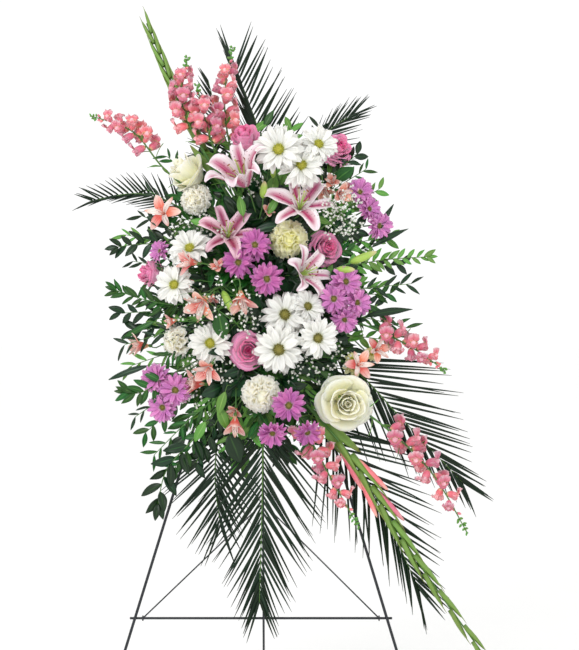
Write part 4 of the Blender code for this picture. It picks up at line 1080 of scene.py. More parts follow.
@dataclass
class Snapdragon(Spike):
    """A snapdragon spike: two-lipped florets in a spiral, then buds, then a green tip."""

    count: int = 16
    size: float = 26.0
    bare: float = 0.4
    full: float = 1.6
    open_to: float = 0.70
    crowded_from: float = 0.80
    green_from: float = 0.84
    leaves: int = 9

    def floret(self, size: float) -> list[bpy.types.Mesh]:
        """A floret along +Z: a pinched tube, two lobes above and three below."""
        def lobe(turn: float, wide: float, long: float, back: float) -> bpy.types.Mesh:
            """One lobe of the lip, turned about the tube."""
            def shape(across: float, along: float) -> Vector:
                """A point of the form, in millimetres, from its place across (-1 to 1) and along (0 to 1)."""
                full = wide * size * 0.5 * swell(0.16 + 0.78 * along) ** 0.6
                ruffle = 0.09 * size * math.sin(across * 5 + turn * 3) * along
                flat = Vector((across * full, size * (0.10 + long * along) * math.cos(back * along),
                               size * (0.62 + long * along * math.sin(0.9 - back * along)) + ruffle
                               - 0.12 * size * across ** 2 * along))
                flat.rotate(Matrix.Rotation(turn, 3, "Z"))
                return flat
            return Forms.sheet(4, 4, shape, 0.5)
        return [Forms.bud(size * 0.82, size * 0.22, 8, 5, -0.2),
                *(lobe(turn, 0.55, 0.48, 0.5) for turn in (-0.42, 0.42)),
                *(lobe(turn, 0.46, 0.42, 1.3) for turn in (math.pi - 0.85, math.pi, math.pi + 0.85))]

    def build(self, bed: Bed) -> None:
        """Builds the spike as one piece."""
        piece = Piece(f"florets_{self.node}")
        path = self.path(bed)
        piece.stem(path, 2.8, 1.0)
        floret = self.floret(self.size * self.full)
        calyx = Forms.bud(self.size * 0.28, self.size * 0.15, 6, 4)
        bud = Forms.bud(self.size * 0.55, self.size * 0.20, 8, 5)
        for index in range(self.count):
            share = index / (self.count - 1)
            point, way = sample(path, mix(self.bare, 0.99, share))
            look = (spiral(way, index) + way * (0.25 + 0.8 * share)).normalized()
            up_side = Vector((0, 0, 1)) if abs(look.z) < 0.9 else Vector((0, 1, 0))
            frame = leaf_frame(Vector(), up_side - look * up_side.dot(look), look)
            grown = Matrix.Scale(1.0 - 0.56 * share ** 2.0, 4)
            where = Matrix.Translation(point + look * 1.5 * MM) @ frame @ grown
            piece.add(calyx, where, GREEN_STEM)
            if share < self.open_to:
                shade = piece.random.random()
                for form in floret:
                    piece.add(form, where, CORAL_PETAL, shade)
                continue
            tone = FRESH_LEAF if share > self.green_from else CORAL_BUD
            piece.add(bud, where @ lifted(2), tone)
            for turn in (0.9, -0.9) if share > self.crowded_from else ():
                beside = Matrix.Rotation(turn, 4, way.cross(look)) @ Matrix.Rotation(turn * 1.7, 4, way)
                piece.add(bud, Matrix.Translation(point) @ beside @ Matrix.Translation(-point) @ where, tone)
        leaf = leaf_form(LeafKind.STRAP, self.size * 1.5)
        for index in range(self.leaves):
            point, way = sample(path, mix(0.16, max(0.3, self.bare + 0.1), index / (self.leaves - 1)))
            piece.add(leaf, leaf_frame(point, spiral(way, index) + way * 0.8, way), FRESH_LEAF)
        piece.close("snapdragon_pink", self.node)


@dataclass
class Gladiolus(Spike):
    """A gladiolus spike in bud: folded green sheaths in two ranks with pink showing below."""

    count: int = 12
    length: float = 110.0
    bare: float = 0.3
    pink: int = 4

    def sheath(self, length: float) -> bpy.types.Mesh:
        """A pointed bract folded round its bud, along +Y."""
        def shape(across: float, along: float) -> Vector:
            """A point of the form, in millimetres, from its place across (-1 to 1) and along (0 to 1)."""
            full = length * 0.100 * (1 - along ** 1.8) ** 0.8 + 0.15
            angle = across * math.radians(mix(120, 60, along))
            return Vector((math.sin(angle) * full, length * along,
                           -math.cos(angle) * full * 0.8 - 0.03 * length * along ** 2))
        return Forms.sheet(6, 9, shape, 0.6)

    def build(self, bed: Bed) -> None:
        """Builds the spike as one piece."""
        piece = Piece(f"buds_{self.node}")
        path = self.path(bed)
        piece.stem(path, 3.2, 1.2, sides=8)
        for index in range(self.count):
            share = index / (self.count - 1)
            point, way = sample(path, mix(self.bare, 0.93, share))
            beside = flank(way, index + 1)
            grown = self.length * mix(1.15, 0.62, share)
            heading = way + beside * 0.07 + Vector((0, -0.03, 0))
            piece.add(self.sheath(grown), leaf_frame(point + beside * MM, heading, -beside), SHEATH)
            finish, lean = (CORAL_BUD, 0.20) if index < self.pink else (SHEATH, 0.08)
            where = aim(point + beside * 3 * MM, (way + beside * lean).normalized())
            piece.add(Forms.bud(grown * 0.84, grown * 0.075, 8, 6), where, finish)
        blade = leaf_form(LeafKind.STRAP, self.length * 1.1, 10)
        point, way = sample(path, self.bare * 0.6)
        for index in (1, 0):
            heading = way + flank(way, index) * 0.12
            piece.add(blade, leaf_frame(point, heading, Vector((0, -1, 0))), SHEATH)
        piece.close("gladiolus_green", self.node)


@dataclass
class LeafyStem(Spike):
    """A leafy stem: alternate leaves that shorten towards the tip."""

    kind: LeafKind = LeafKind.RUSCUS
    finish: PlantFinish = DARK_LEAF
    count: int = 10
    first: float = 0.4
    turn: float = 52.0
    length: float = 50.0

    def build(self, bed: Bed) -> None:
        """Builds the stem as one piece."""
        piece = Piece(f"leaves_{self.node}")
        draw = piece.random.uniform
        path = self.path(bed)
        piece.stem(path, 1.9, 0.8)
        for index in range(self.count):
            part = mix(self.first, 0.99, index / (self.count - 1))
            point, way = sample(path, part)
            angle = math.radians(self.turn * (1 - 0.4 * part) * draw(0.55, 1.3))
            heading = way * math.cos(angle) + flank(way, index) * math.sin(angle)
            heading += Vector((0, -1, 0)) * draw(-0.2, 0.5)
            form = leaf_form(self.kind, self.length * (1 - 0.35 * part) * draw(0.75, 1.12))
            face = Vector((draw(-0.8, 0.8), -1, draw(-0.3, 0.9)))
            piece.add(form, leaf_frame(point, heading, face), self.finish)
        point, way = sample(path, 1.0)
        piece.add(leaf_form(self.kind, self.length * 0.55), leaf_frame(point, way, Vector((0, -1, 0.2))),
                  self.finish)
        piece.close("leaf_green", self.node)


@dataclass
class Mist:
    """Baby's breath: tiny double florets on hair-thin twigs from one stem."""

    node: str
    across: float
    up: float
    wide: float
    tall: float
    count: int = 60

    @staticmethod
    def scatter(piece: Piece, knot: Vector, wide: float, tall: float, count: int) -> None:
        """Adds twigs with double florets about a knot.

        Args:
            piece: the piece that takes them.
            knot: where the twigs meet.
            wide: how far they reach to the sides, in millimetres.
            tall: how far they reach up and down, in millimetres.
            count: how many twigs.
        """
        draw = piece.random.uniform

        def petal_shape(across: float, along: float) -> Vector:
            """A point of a petal, in millimetres."""
            return Vector((across * 0.9 * swell(0.1 + 0.7 * along), 2.5 * along, 1.3 * along ** 0.5))
        petal = Forms.sheet(1, 2, petal_shape, 0.3)
        heart = Forms.bud(2.2, 0.9, 6, 4)
        for index in range(count):
            reach = math.sqrt((index + 0.5) / count) * draw(0.75, 1.15)
            angle = index * GOLDEN + draw(-0.5, 0.5)
            spot = knot + Vector((wide * reach * math.cos(angle), -draw(10, 34) * (1 - 0.3 * reach),
                                  tall * reach * math.sin(angle))) * MM
            bend = knot.lerp(spot, 0.5) + Vector((draw(-6, 6), draw(2, 10), draw(-4, 8))) * MM
            piece.stem(curved([knot, bend, spot], 2), 0.35, 0.2, FRESH_LEAF, 4)
            for twin in (False, True):
                aside = Vector((draw(-9, 9), draw(-7, 2), draw(-9, 9))) * MM * twin
                look = Vector((draw(-0.6, 0.6), -1, draw(-0.4, 0.8))).normalized()
                where = aim(spot + aside, look, draw(0, 6))
                if twin:
                    piece.stem([spot, spot + aside * 0.6, spot + aside], 0.2, 0.15, FRESH_LEAF, 4)
                piece.add(heart, where @ lifted(-1.4), GREEN_STEM)
                for turn in range(7):
                    turned = where @ spun(turn * math.tau / 7) @ spun(0.5 * (turn % 2), "X")
                    piece.add(petal, turned, MIST_PETAL)

    def build(self, bed: Bed) -> None:
        """Builds the cloud as one piece: four knots on one stem."""
        piece = Piece(f"cloud_{self.node}")
        front = bed.front(self.node, self.across, self.up, 200.0)
        centre = Vector((self.across * MM, front + 62 * MM, self.up * MM))
        root = bed.root(self.node)
        piece.stem([root, root.lerp(centre, 0.5), centre], 1.9, 1.2)
        for side, rise in ((-0.45, -0.35), (0.45, -0.45), (-0.4, 0.5), (0.45, 0.45)):
            knot = centre + Vector((side * self.wide, -6, rise * self.tall)) * MM
            piece.stem([centre, centre.lerp(knot, 0.5) + Vector((0, -3, 0)) * MM, knot], 1.0, 0.6, sides=5)
            self.scatter(piece, knot, self.wide * 0.55, self.tall * 0.55, self.count // 4)
        piece.close("gypsophila_white", self.node)


def dome(across: float, up: float) -> float:
    """How far out the blooms sit at a place: the spray bulges towards its middle."""
    inward = 1 - (across / DOME_HALF_WIDE) ** 2 - ((up - DOME_MIDDLE) / DOME_HALF_TALL) ** 2
    return DOME_RIM + DOME_RISE * max(0.0, inward)


@dataclass
class Underleaves:
    """Leafy sprigs that fill the spray between its blooms, hide the foam and fringe its edge."""

    sprigs: int = 64
    fringe: int = 72
    half_wide: float = 185.0
    half_tall: float = 275.0
    level: float = 846.0
    outer: tuple[tuple[float, float], ...] = (
        (-276, 966), (-262, 912), (-246, 1006), (-286, 806), (-262, 772), (-276, 742), (-262, 700),
        (-232, 566), (-252, 598), (-214, 522), (-172, 498), (-130, 506), (-40, 500), (40, 520), (262, 962),
        (284, 906), (304, 866), (262, 846), (292, 776), (254, 752), (214, 1102), (196, 1134), (-112, 1180),
        (-196, 1130), (-236, 1060), (60, 1186), (118, 1190), (240, 1060))
    kinds: tuple = ((LeafKind.RUSCUS, DARK_LEAF), (LeafKind.MYRTLE, MID_LEAF), (LeafKind.RUSCUS, DARK_LEAF),
                    (LeafKind.BROAD, DARK_LEAF))
    fringe_kinds: tuple = ((LeafKind.LANCE, MID_LEAF), (LeafKind.MYRTLE, FRESH_LEAF),
                           (LeafKind.RUSCUS, DARK_LEAF), (LeafKind.LANCE, DARK_LEAF),
                           (LeafKind.MYRTLE, MID_LEAF), (LeafKind.LANCE, FRESH_LEAF))
    leaves: int = 11
    foam_clear: float = 94.0

    def end(self, across: float, up: float, deep: float) -> Vector:
        """Where a sprig ends: a little behind the blooms, and in front of the foam."""
        out = dome(across, up) - deep
        if abs(across) < Bed.foam_half + 10 and Bed.foam_low - 10 < up < Bed.foam_high + 10:
            out = max(out, self.foam_clear)
        return place(across, up, out)

    def sprig(self, piece: Piece, end: Vector, kinds: tuple, spread: float,
              length: tuple[float, float]) -> None:
        """Adds one sprig from the foam to its end.

        Args:
            piece: the piece that takes it.
            end: where its tip stands.
            kinds: leaf kinds and finishes to choose from.
            spread: how wildly its leaves point.
            length: least and greatest leaf length, in millimetres.
        """
        draw = piece.random.uniform
        root = rooted(end.x / MM * 0.45, end.z / MM * 0.6 + 340, 70)
        path = curved([root, root.lerp(end, 0.5) + Vector((0, -8, draw(-8, 14))) * MM, end], 5)
        piece.stem(path, 1.6, 0.7)
        kind, finish = piece.random.choice(kinds)
        forms = [leaf_form(kind, draw(*length)) for _ in range(3)]
        for number in range(self.leaves):
            point, way = sample(path, mix(0.35, 1.0, number / (self.leaves - 1)))
            wild = Vector((draw(-1, 1), draw(-0.5, 0.3), draw(-1, 1)))
            heading = way * 0.75 + flank(way, number) * 0.55 + wild * spread
            face = Vector((draw(-0.7, 0.7), -1, draw(-0.3, 0.9)))
            piece.add(forms[number % 3], leaf_frame(point, heading, face), finish)

    def build(self) -> None:
        """Builds the sprigs in six pieces: four within, two round the edge."""
        pieces = [Piece(f"underleaves_{number}") for number in range(1, 7)]
        for index in range(self.sprigs):
            piece = pieces[index % 4]
            reach = math.sqrt((index + 0.5) / self.sprigs)
            across = self.half_wide * reach * math.cos(index * GOLDEN)
            up = self.level + self.half_tall * reach * math.sin(index * GOLDEN)
            self.sprig(piece, self.end(across, up, piece.random.uniform(22, 44)), self.kinds, 0.9, (34, 50))
        for index in range(self.fringe):
            piece = pieces[4 + index % 2]
            draw = piece.random.uniform
            angle = math.tau * (index + draw(-0.4, 0.4)) / self.fringe
            reach = draw(0.95, 1.3)
            across = self.half_wide * reach * math.cos(angle)
            up = self.level + self.half_tall * reach * 0.97 * math.sin(angle)
            self.sprig(piece, self.end(across, up, draw(4, 26)), self.fringe_kinds, 0.28, (26, 44))
        for index, (across, up) in enumerate(self.outer):
            piece = pieces[4 + index % 2]
            end = self.end(across, up, piece.random.uniform(0, 20))
            self.sprig(piece, end, self.fringe_kinds, 0.22, (24, 38))
        for piece in pieces:
            piece.close("leaf_green")


@dataclass(frozen=True)
class Accent:
    """One leaf that shows in front of the blooms: where its foot is, which way it points in the
    picture in degrees from the right, its length, and how far it stands out from the blooms."""

    across: float
    up: float
    angle: float
    length: float
    kind: LeafKind
    finish: PlantFinish
    out: float = 8.0


@dataclass
class Accents:
    """Single leaves, curved blades and loose florets that show between the blooms."""

    leaves: tuple[Accent, ...] = (
        Accent(-62, 566, -68, 62, LeafKind.BROAD, DARK_LEAF, 22),
        Accent(-122, 808, 0, 64, LeafKind.BROAD, DARK_LEAF, 20),
        Accent(-82, 806, -82, 54, LeafKind.BROAD, MID_LEAF, 30),
        Accent(-96, 978, 160, 48, LeafKind.RUSCUS, FRESH_LEAF, 16),
        Accent(-36, 1000, 100, 42, LeafKind.RUSCUS, FRESH_LEAF, 12),
        Accent(20, 1046, 80, 40, LeafKind.BROAD, FRESH_LEAF, 6),
        Accent(14, 1004, 60, 44, LeafKind.MYRTLE, FRESH_LEAF, 10),
        Accent(38, 982, -170, 52, LeafKind.RUSCUS, DARK_LEAF, 4),
        Accent(104, 1000, -20, 40, LeafKind.MYRTLE, FRESH_LEAF, 0),
        Accent(-20, 1180, 36, 46, LeafKind.MYRTLE, FRESH_LEAF, -10),
        Accent(4, 1190, 62, 42, LeafKind.MYRTLE, MID_LEAF, -12),
        Accent(150, 1076, 40, 48, LeafKind.BROAD, MID_LEAF, -6),
        Accent(-70, 650, -110, 48, LeafKind.RUSCUS, FRESH_LEAF, 16),
        Accent(-84, 620, -66, 52, LeafKind.RUSCUS, FRESH_LEAF, 16),
        Accent(-110, 590, -120, 46, LeafKind.RUSCUS, FRESH_LEAF, 14),
        Accent(-60, 600, -50, 44, LeafKind.MYRTLE, FRESH_LEAF, 18),
        Accent(118, 690, -30, 44, LeafKind.MYRTLE, MID_LEAF, 4),
        Accent(-190, 980, 150, 50, LeafKind.RUSCUS, DARK_LEAF, -8),
        Accent(-150, 560, -140, 56, LeafKind.RUSCUS, DARK_LEAF, 0),
        Accent(212, 780, -12, 90, LeafKind.STRAP, MID_LEAF, 0),
        Accent(210, 800, 12, 96, LeafKind.STRAP, DARK_LEAF, 0),
        Accent(206, 826, -30, 86, LeafKind.STRAP, MID_LEAF, -4),
        Accent(224, 940, 32, 84, LeafKind.STRAP, DARK_LEAF, -4),
        Accent(226, 960, 58, 80, LeafKind.STRAP, DARK_LEAF, -6),
        Accent(-228, 700, 196, 84, LeafKind.STRAP, DARK_LEAF, -6),
        Accent(-214, 790, 205, 80, LeafKind.STRAP, MID_LEAF, -6),
    )
    funnels: tuple[tuple[float, ...], ...] = (
        (-98, 834, 34, -30, -50, 0.3), (-128, 912, 30, -50, 20, 0.3), (-142, 868, 28, -60, -10, 0.2),
        (-178, 790, 30, -70, -10, 0.2), (-86, 898, 28, -20, 30, 0.3), (178, 1056, 30, 30, 10, 0.2),
        (14, 1012, 28, 20, 10, 0.2), (144, 1072, 30, -10, 20, 0.2), (-52, 612, 32, -20, -30, 0.2))
    small_blooms: tuple[tuple[float, ...], ...] = (
        (188, 702, 44, 16, 24), (228, 728, 36, 30, 20), (182, 722, 34, -4, 40))
    florets: tuple[tuple[float, float], ...] = (
        (-120, 990), (-160, 980), (-90, 972), (-150, 826), (-40, 812), (-20, 786), (-14, 1062), (150, 1010),
        (172, 988), (96, 706), (130, 680), (158, 720), (-140, 640), (-136, 700), (60, 690), (-74, 690))

    def build(self) -> None:
        """Builds the leaves, the loose florets and the small blooms as one piece each."""
        piece = Piece("accent_leaves")
        draw = piece.random.uniform
        for leaf in self.leaves:
            turn = math.radians(leaf.angle)
            foot = place(leaf.across, leaf.up, dome(leaf.across, leaf.up) + leaf.out)
            heading = Vector((math.cos(turn), draw(-0.15, 0.1), math.sin(turn)))
            face = Vector((draw(-0.3, 0.3), -1, 0.35))
            piece.add(leaf_form(leaf.kind, leaf.length, 12), leaf_frame(foot, heading, face), leaf.finish)
            root = rooted(leaf.across * 0.5, leaf.up)
            bend = foot - heading.normalized() * 14 * MM
            piece.stem(curved([root, root.lerp(bend, 0.6) + Vector((0, 6 * MM, 0)), bend, foot], 3), 1.4, 0.7)
        piece.close("leaf_green")
        piece = Piece("accent_florets")
        for across, up in self.florets:
            knot = place(across, up, dome(across, up) - 12)
            root = rooted(across * 0.5, up)
            piece.stem([root, root.lerp(knot, 0.6), knot], 0.8, 0.5, sides=5)
            Mist.scatter(piece, knot, 24.0, 26.0, 11)
        piece.close("gypsophila_white")
        piece = Piece("accent_blooms")
        for across, up, length, turn, tilt, spread in self.funnels:
            self.loose(piece, across, up, turn, tilt, Alstroemeria(spread), length)
        for across, up, size, turn, tilt in self.small_blooms:
            self.loose(piece, across, up, turn, tilt, Daisy(LEMON_PETAL, DISC, (9, 8), 0.24, 0.11, 24), size)
        piece.close("alstroemeria_salmon")

    @staticmethod
    def loose(piece: Piece, across: float, up: float, turn: float, tilt: float,
              flower: Alstroemeria | Daisy, size: float) -> None:
        """Adds one small bloom on a stem of its own.

        Args:
            piece: the piece that takes it.
            across: millimetres right of the centre line.
            up: millimetres above the floor.
            turn: degrees that it looks to the right.
            tilt: degrees that it looks up.
            flower: what the bloom is.
            size: its size in millimetres.
        """
        look = facing(turn, tilt)
        middle = place(across, up, dome(across, up) + 6)
        where = aim(middle - look * size * 0.4 * MM, look, piece.random.uniform(0, 6))
        flower.build(piece, where, size)
        root = rooted(across * 0.5, up)
        foot = where.translation
        piece.stem(curved([root, root.lerp(foot, 0.6), foot - look * 12 * MM, foot], 3), 1.3, 0.9)


@dataclass
class Blooms:
    """Every rose, carnation, lily, daisy and salmon lily, at its own place."""

    bed: Bed

    def close(self, piece: Piece, node: str, feet: Sequence[Matrix], slot: str) -> None:
        """Runs the node's stems to its heads and closes its piece."""
        root_stems(piece, self.bed, node, feet)
        piece.close(slot, node)

    def roses(self) -> None:
        """The pink and cream roses."""
        table = (("rose_top", -33, 1164, -10, 50, 62, 70, 0.45, ORCHID_PETAL),
                 ("rose_top_right", 158, 1147, 34, 24, 72, 56, 0.8, ORCHID_PETAL),
                 ("rose_right", 133, 938, 30, 6, 72, 52, 0.8, ORCHID_PETAL),
                 ("rose_left", -226, 887, -66, 4, 58, 66, 0.45, ORCHID_PETAL),
                 ("rose_middle", -24, 731, 0, 0, 76, 50, 0.85, ORCHID_PETAL),
                 ("rose_cream_left", -156, 1096, -58, 30, 90, 72, 0.45, CREAM_PETAL),
                 ("rose_cream_low", 170, 627, 8, -4, 110, 66, 0.75, CREAM_PETAL))
        for node, across, up, turn, tilt, size, height, openness, finish in table:
            cream = finish is CREAM_PETAL
            piece = Piece(f"petals_{node}")
            head = Head(across, up, size, turn, tilt)
            where = head.where(self.bed, node, height * 0.6, height * 0.4, size * 0.45, 0.0)
            rose = Rose(finish, openness, LOOSE_WHORLS if cream else ROSE_WHORLS)
            rose.build(piece, where, size, height)
            self.close(piece, node, [where], "rose_cream" if cream else "rose_pink")

    def carnations(self) -> None:
        """The cream and lemon carnations."""
        table = (("carnation_top_left", -137, 1040, 62, -16, 10, FRILL_PETAL),
                 ("carnation_upper", 56, 954, 76, 4, 4, LEMON_PETAL),
                 ("carnation_left", -181, 749, 70, -52, 0, FRILL_PETAL),
                 ("carnation_low", 1, 642, 74, 0, -14, FRILL_PETAL))
        for node, across, up, size, turn, tilt, finish in table:
            piece = Piece(f"petals_{node}")
            head = Head(across, up, size, turn, tilt)
            where = head.where(self.bed, node, size * 0.2, size * 0.1, size * 0.45, 0.0)
            Carnation(finish).build(piece, where, size)
            self.close(piece, node, [where @ lifted(-0.34 * size)], "carnation_cream")

    def lilies(self) -> None:
        """The four lilies with their buds."""
        table = (
            ("lily_upper_left", LILY_PETAL, (-30, 1060, 94, -30, 44, 0.24, 0), ((4, 1036, 38, 10, 60, 12),)),
            ("lily_upper_right", LILY_PETAL, (78, 1020, 78, 8, 34, 0.62, 12), ((24, 1078, 36, 0, 70, 9),)),
            ("lily_left", LILY_DARK, (-66, 966, 68, 4, 30, 0.55, 16), ((-76, 850, 64, 36, -50, 12),)),
            ("lily_right", LILY_PALE, (88, 886, 66, 42, 14, 0.42, 16),
             ((178, 906, 58, 76, 22, 12), (150, 892, 42, 60, 0, 11))),
        )
        for node, finish, (across, up, length, turn, tilt, spread, centre), buds in table:
            piece = Piece(f"petals_{node}")
            tip = math.radians(58 - 62 * spread)
            head = Head(across, up, length * 1.4, turn, tilt)
            where = head.where(self.bed, node, centre, length * math.sin(tip) - centre, length * 0.8, 0.3)
            Lily(finish, spread).build(piece, where, length)
            feet = [where]
            for bud_across, bud_up, long, bud_turn, bud_tilt, radius in buds:
                bud = Head(bud_across, bud_up, long, bud_turn, bud_tilt)
                stand = bud.where(self.bed, node, 0, long * 0.5, radius, 0.0)
                piece.add(Forms.bud(long, radius * 0.8, 12, 10), stand, GREEN_BUD)
                feet.append(stand)
            self.close(piece, node, feet, "lily_pink")

    def daisies(self) -> None:
        """The white and violet spray daisies."""
        white = (
            ("daisy_white_top", DISC, ((36, 1130, 100, -8, 12), (80, 1100, 92, 8, 6),
                                       (114, 1142, 80, 20, 20))),
            ("daisy_white_left", DISC, ((-142, 934, 88, -14, 34), (-172, 862, 84, -18, 4),
                                        (-100, 746, 88, -10, 0))),
            ("daisy_white_middle", DARK_DISC, ((48, 802, 94, 0, 8), (92, 818, 72, 22, 18))),
            ("daisy_white_low", DARK_DISC, ((36, 734, 100, 0, -6), (112, 756, 84, 12, 0))),
        )
        violet = (
            ("daisy_violet_middle", VIOLET_PETAL, ((-44, 906, 68, -10, 6), (-12, 940, 66, 0, 16),
                                                   (12, 874, 68, 4, -4))),
            ("daisy_violet_right", MAUVE_PETAL, ((168, 868, 66, 18, 14), (146, 834, 64, -6, 0),
                                                 (190, 826, 60, 34, 4), (166, 794, 56, 8, -20))),
            ("daisy_violet_upper_right", MAUVE_PETAL, ((200, 1052, 58, 14, 24), (218, 1018, 52, 30, 10),
                                                       (238, 984, 58, 34, -4))),
            ("daisy_violet_low_left", MAUVE_PETAL, ((-208, 674, 64, -28, 10), (-170, 652, 68, -8, 0),
                                                    (-196, 618, 62, -20, -18))),
            ("daisy_violet_low", VIOLET_PETAL, ((56, 624, 68, 0, 4), (24, 572, 58, -6, -34),
                                                (92, 572, 54, 14, -34))),
            ("daisy_violet_left", MAUVE_PETAL, ((-202, 930, 46, -40, 14),)),
        )
        for table, slot in ((white, "daisy_white"), (violet, "daisy_violet")):
            for node, finish, heads in table:
                if slot == "daisy_white":
                    flower = Daisy(WHITE_PETAL, finish)
                else:
                    flower = Daisy(finish, DARK_DISC, (15, 14, 12), 0.135, 0.11)
                piece = Piece(f"petals_{node}")
                feet = []
                for across, up, wide, turn, tilt in heads:
                    size = wide * 1.08
                    head = Head(across, up, size, turn, tilt)
                    roll = piece.random.uniform(0, 6)
                    where = head.where(self.bed, node, 0, size * 0.10, size * 0.4, roll)
                    flower.build(piece, where, size)
                    feet.append(where @ lifted(-size * 0.10))
                self.close(piece, node, feet, slot)

    def alstroemerias(self) -> None:
        """The small salmon lilies."""
        table = (
            ("alstroemeria_left", ((-196, 1006, 42, 0.75, -20, 16), (-226, 740, 44, 0.1, -70, 0))),
            ("alstroemeria_middle", ((-104, 838, 52, 0.35, -34, -34), (-40, 852, 48, 0.2, 10, -60),
                                     (-124, 904, 42, 0.2, -60, 6))),
            ("alstroemeria_low", ((-96, 706, 44, 0.3, -24, -34), (-110, 664, 44, 0.15, -70, 4),
                                  (-50, 604, 42, 0.15, -4, -60))),
            ("alstroemeria_right", ((124, 1070, 36, 0.2, 10, -50), (152, 1052, 38, 0.2, 30, -10),
                                    (190, 700, 38, 0.5, 20, 10), (226, 730, 34, 0.5, 30, 10))),
        )
        for node, heads in table:
            piece = Piece(f"petals_{node}")
            feet = []
            for across, up, length, spread, turn, tilt in heads:
                head = Head(across, up, length * 1.2, turn, tilt)
                tip = math.radians(62 - 50 * spread)
                where = head.where(self.bed, node, 0, length * 0.9 * math.sin(tip), length * 0.5,
                                   piece.random.uniform(0, 6))
                Alstroemeria(spread).build(piece, where, length * 1.12)
                feet.append(where)
            self.close(piece, node, feet, "alstroemeria_salmon")

    def build(self) -> None:
        """Builds every bloom."""
        self.roses()
        self.carnations()
        self.lilies()
        self.daisies()
        self.alstroemerias()


@dataclass
class Greenery:
    """Palm fronds, leafy stems, spikes and baby's breath."""

    bed: Bed

    def palms(self) -> None:
        """The seven fronds; each rib has its controls, first and last leaflet, their left and right
        angles, lengths and width, and how many there are."""
        top = (((12, 1002), (14, 1090), (-12, 1200), (-58, 1318)), 0.30, 0.99, (118, 112), (58, 66),
               (150, 104), 7.0, 26)
        top_left = (((12, 1002), (-40, 1090), (-84, 1190), (-112, 1290)), 0.34, 0.98, (158, 118), None,
                    (130, 40), 6.0, 20)
        left = (((-48, 968), (-150, 1016), (-250, 1052), (-352, 1036)), 0.36, 0.97, (186, 202), (104, 158),
                (72, 46), 6.0, 22)
        upper_right = (((46, 1004), (84, 1100), (130, 1176), (190, 1218)), 0.34, 0.98, (70, 50), (8, 22),
                       (118, 56), 5.0, 20)
        right = (((50, 742), (176, 700), (282, 594), (400, 470)), 0.25, 0.98, (2, -34), (-72, -62),
                 (225, 80), 8.0, 26)
        low_right = (((50, 742), (122, 590), (226, 440), (312, 262)), 0.34, 0.98, (-12, -46), (-92, -78),
                     (205, 90), 7.5, 28)
        low_left = (((-40, 676), (-84, 560), (-92, 470), (-80, 380)), 0.35, 0.97, (-52, -72), (-146, -112),
                    (150, 90), 7.0, 18)
        bottom = (((2, 672), (4, 560), (2, 400), (-2, 236)), 0.24, 0.97, (-50, -70), (-132, -110),
                  (235, 84), 8.0, 34)
        for node, ribs, level in (("palm_top", (top, top_left), 16), ("palm_left", (left,), 27),
                                  ("palm_upper_right", (upper_right,), 30),
                                  ("palm_right", (right, low_right), 38),
                                  ("palm_low_left", (low_left,), 20), ("palm_bottom", (bottom,), 50)):
            Palm(node, ribs, level).build()

    def spikes(self) -> None:
        """The gladioli, snapdragons and leafy stems."""
        stems = (
            Gladiolus("gladiolus_top", ((-42, 1010), (-100, 1100), (-176, 1260), (-238, 1404)), (58, 84),
                      11, 96, 0.42, 0),
            Gladiolus("gladiolus_low", ((50, 664), (170, 532), (300, 330), (434, 142)), (58, 96), 13),
            Snapdragon("snapdragon_left", ((-56, 990), (-190, 1092), (-262, 1176), (-348, 1208)), (62, 90),
                       18, 24, 0.5),
            Snapdragon("snapdragon_top_left", ((-30, 1004), (-120, 1140), (-162, 1236), (-150, 1324)),
                       (66, 110), 20, 26, 0.46),
            Snapdragon("snapdragon_top", ((-10, 1008), (-62, 1140), (-76, 1250), (-60, 1352)), (70, 90), 20),
            Snapdragon("snapdragon_top_mid", ((-22, 1000), (-84, 1110), (-112, 1190), (-130, 1268)),
                       (78, 130), 15, 26, 0.5),
            Snapdragon("snapdragon_right", ((56, 800), (180, 790), (290, 744), (368, 690)), (64, 84),
                       18, 25, 0.5),
            Snapdragon("snapdragon_low_mid", ((34, 664), (92, 566), (142, 474), (192, 388)), (66, 110),
                       20, 26, 0.3),
            Snapdragon("snapdragon_low_right", ((56, 700), (214, 604), (330, 500), (404, 376)), (74, 110),
                       20, 27, 0.44),
            LeafyStem("leafy_left_upper", ((-56, 920), (-160, 944), (-240, 946), (-290, 940)), (70, 74),
                      LeafKind.RUSCUS, DARK_LEAF, 9, 0.45, 58, 50),
            LeafyStem("leafy_left_mid", ((-56, 850), (-160, 824), (-230, 832), (-292, 852)), (72, 74),
                      LeafKind.MYRTLE, MID_LEAF, 16, 0.4, 62, 44),
            LeafyStem("leafy_left_low", ((-56, 740), (-150, 700), (-232, 650), (-268, 648)), (72, 74),
                      LeafKind.MYRTLE, MID_LEAF, 16, 0.4, 62, 46),
            LeafyStem("leafy_trailing", ((-48, 664), (-130, 560), (-186, 496), (-202, 430)), (60, 76),
                      LeafKind.RUSCUS, DARK_LEAF, 11, 0.35, 66, 62),
            LeafyStem("leafy_right", ((56, 880), (170, 900), (250, 914), (336, 920)), (64, 74),
                      LeafKind.MYRTLE, FRESH_LEAF, 20, 0.36, 56, 38),
        )
        for stem in stems:
            stem.build(self.bed)

    def build(self) -> None:
        """Builds all the greenery."""
        self.palms()
        self.spikes()
        Mist("gypsophila_left", -84, 812, 84, 60, 44).build(self.bed)
        Mist("gypsophila_right", 160, 1002, 44, 56).build(self.bed)
        Underleaves().build()
        Accents().build()


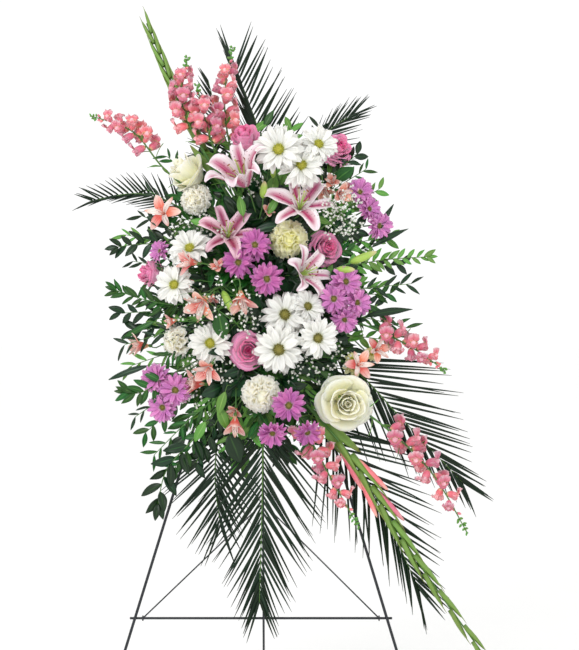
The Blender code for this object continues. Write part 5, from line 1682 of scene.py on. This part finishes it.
@dataclass
class Easel:
    """The wire easel and the foam's carrier, dressed where they stand."""

    nodes: dict[str, bpy.types.Object]

    def dress(self) -> None:
        """Gives each node its real finish."""
        for name in ("front_leg_left", "front_leg_right", "cross_bar", "top_bar", "rear_leg", "brace_left",
                     "brace_right"):
            self.finish(name, ENAMEL)
        self.finish("foam_plate", MOULDED)
        self.finish("foam_block", WET_AND_SHADED_FOAM)

    def finish(self, name: str, finish: SolidFinish) -> None:
        """Puts one material on a CAD node."""
        data = self.nodes[name].data
        data.materials.clear()
        data.materials.append(material_of(finish))


@dataclass
class Studio:
    """The pale floor, the soft lights and the camera."""

    distance: float = 3.6
    flower_plane: float = -0.10
    across: float = 0.057
    up: float = 0.782
    view_wide: float = 1.158
    sensor: float = 36.0
    daylight: float = 1.05
    middle: Vector = field(default_factory=lambda: Vector((0, 0, 0.85)))

    def floor(self) -> None:
        """A wide plain floor."""
        solid = bmesh.new()
        bmesh.ops.create_grid(solid, x_segments=4, y_segments=4, size=60.0)
        mesh = bpy.data.meshes.new("studio_floor")
        solid.to_mesh(mesh)
        solid.free()
        mesh.materials.append(material_of(FLOOR))
        made = bpy.data.objects.new("studio_floor", mesh)
        bpy.context.scene.collection.objects.link(made)

    def light(self, name: str, spot: Vector, target: Vector, size: float, power: float) -> None:
        """A large soft light aimed at a point."""
        data = bpy.data.lights.new(name, "AREA")
        data.shape = "SQUARE"
        data.size = size
        data.energy = power
        made = bpy.data.objects.new(name, data)
        made.location = spot
        made.rotation_euler = (target - spot).to_track_quat("-Z", "Y").to_euler()
        bpy.context.scene.collection.objects.link(made)

    def camera(self) -> None:
        """A level camera in front of the spray, at the photograph's framing."""
        data = bpy.data.cameras.new("camera")
        data.sensor_fit = "HORIZONTAL"
        data.sensor_width = self.sensor
        data.lens = self.sensor * self.distance / self.view_wide
        made = bpy.data.objects.new("camera", data)
        made.location = (self.across, self.flower_plane - self.distance, self.up)
        made.rotation_euler = (math.radians(90), 0, 0)
        bpy.context.scene.collection.objects.link(made)
        bpy.context.scene.camera = made

    def build(self) -> None:
        """Sets the stage."""
        self.floor()
        self.light("key", Vector((-1.3, -2.8, 2.3)), self.middle, size=1.2, power=30)
        self.light("fill", Vector((1.9, -2.4, 1.3)), self.middle, size=2.0, power=4)
        world = bpy.data.worlds.new("studio")
        world.use_nodes = True
        background = world.node_tree.nodes["Background"]
        background.inputs["Color"].default_value = (1, 1, 1, 1)
        background.inputs["Strength"].default_value = self.daylight
        bpy.context.scene.world = world
        bpy.context.scene.view_settings.view_transform = "Standard"
        self.camera()


def main() -> None:
    """Builds the spray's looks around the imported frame."""
    logging.basicConfig(level=logging.INFO)
    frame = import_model()
    bed = Bed(frame["nodes"])
    Easel(frame["nodes"]).dress()
    Greenery(bed).build()
    Blooms(bed).build()
    Studio().build()


if __name__ == "__main__":
    main()
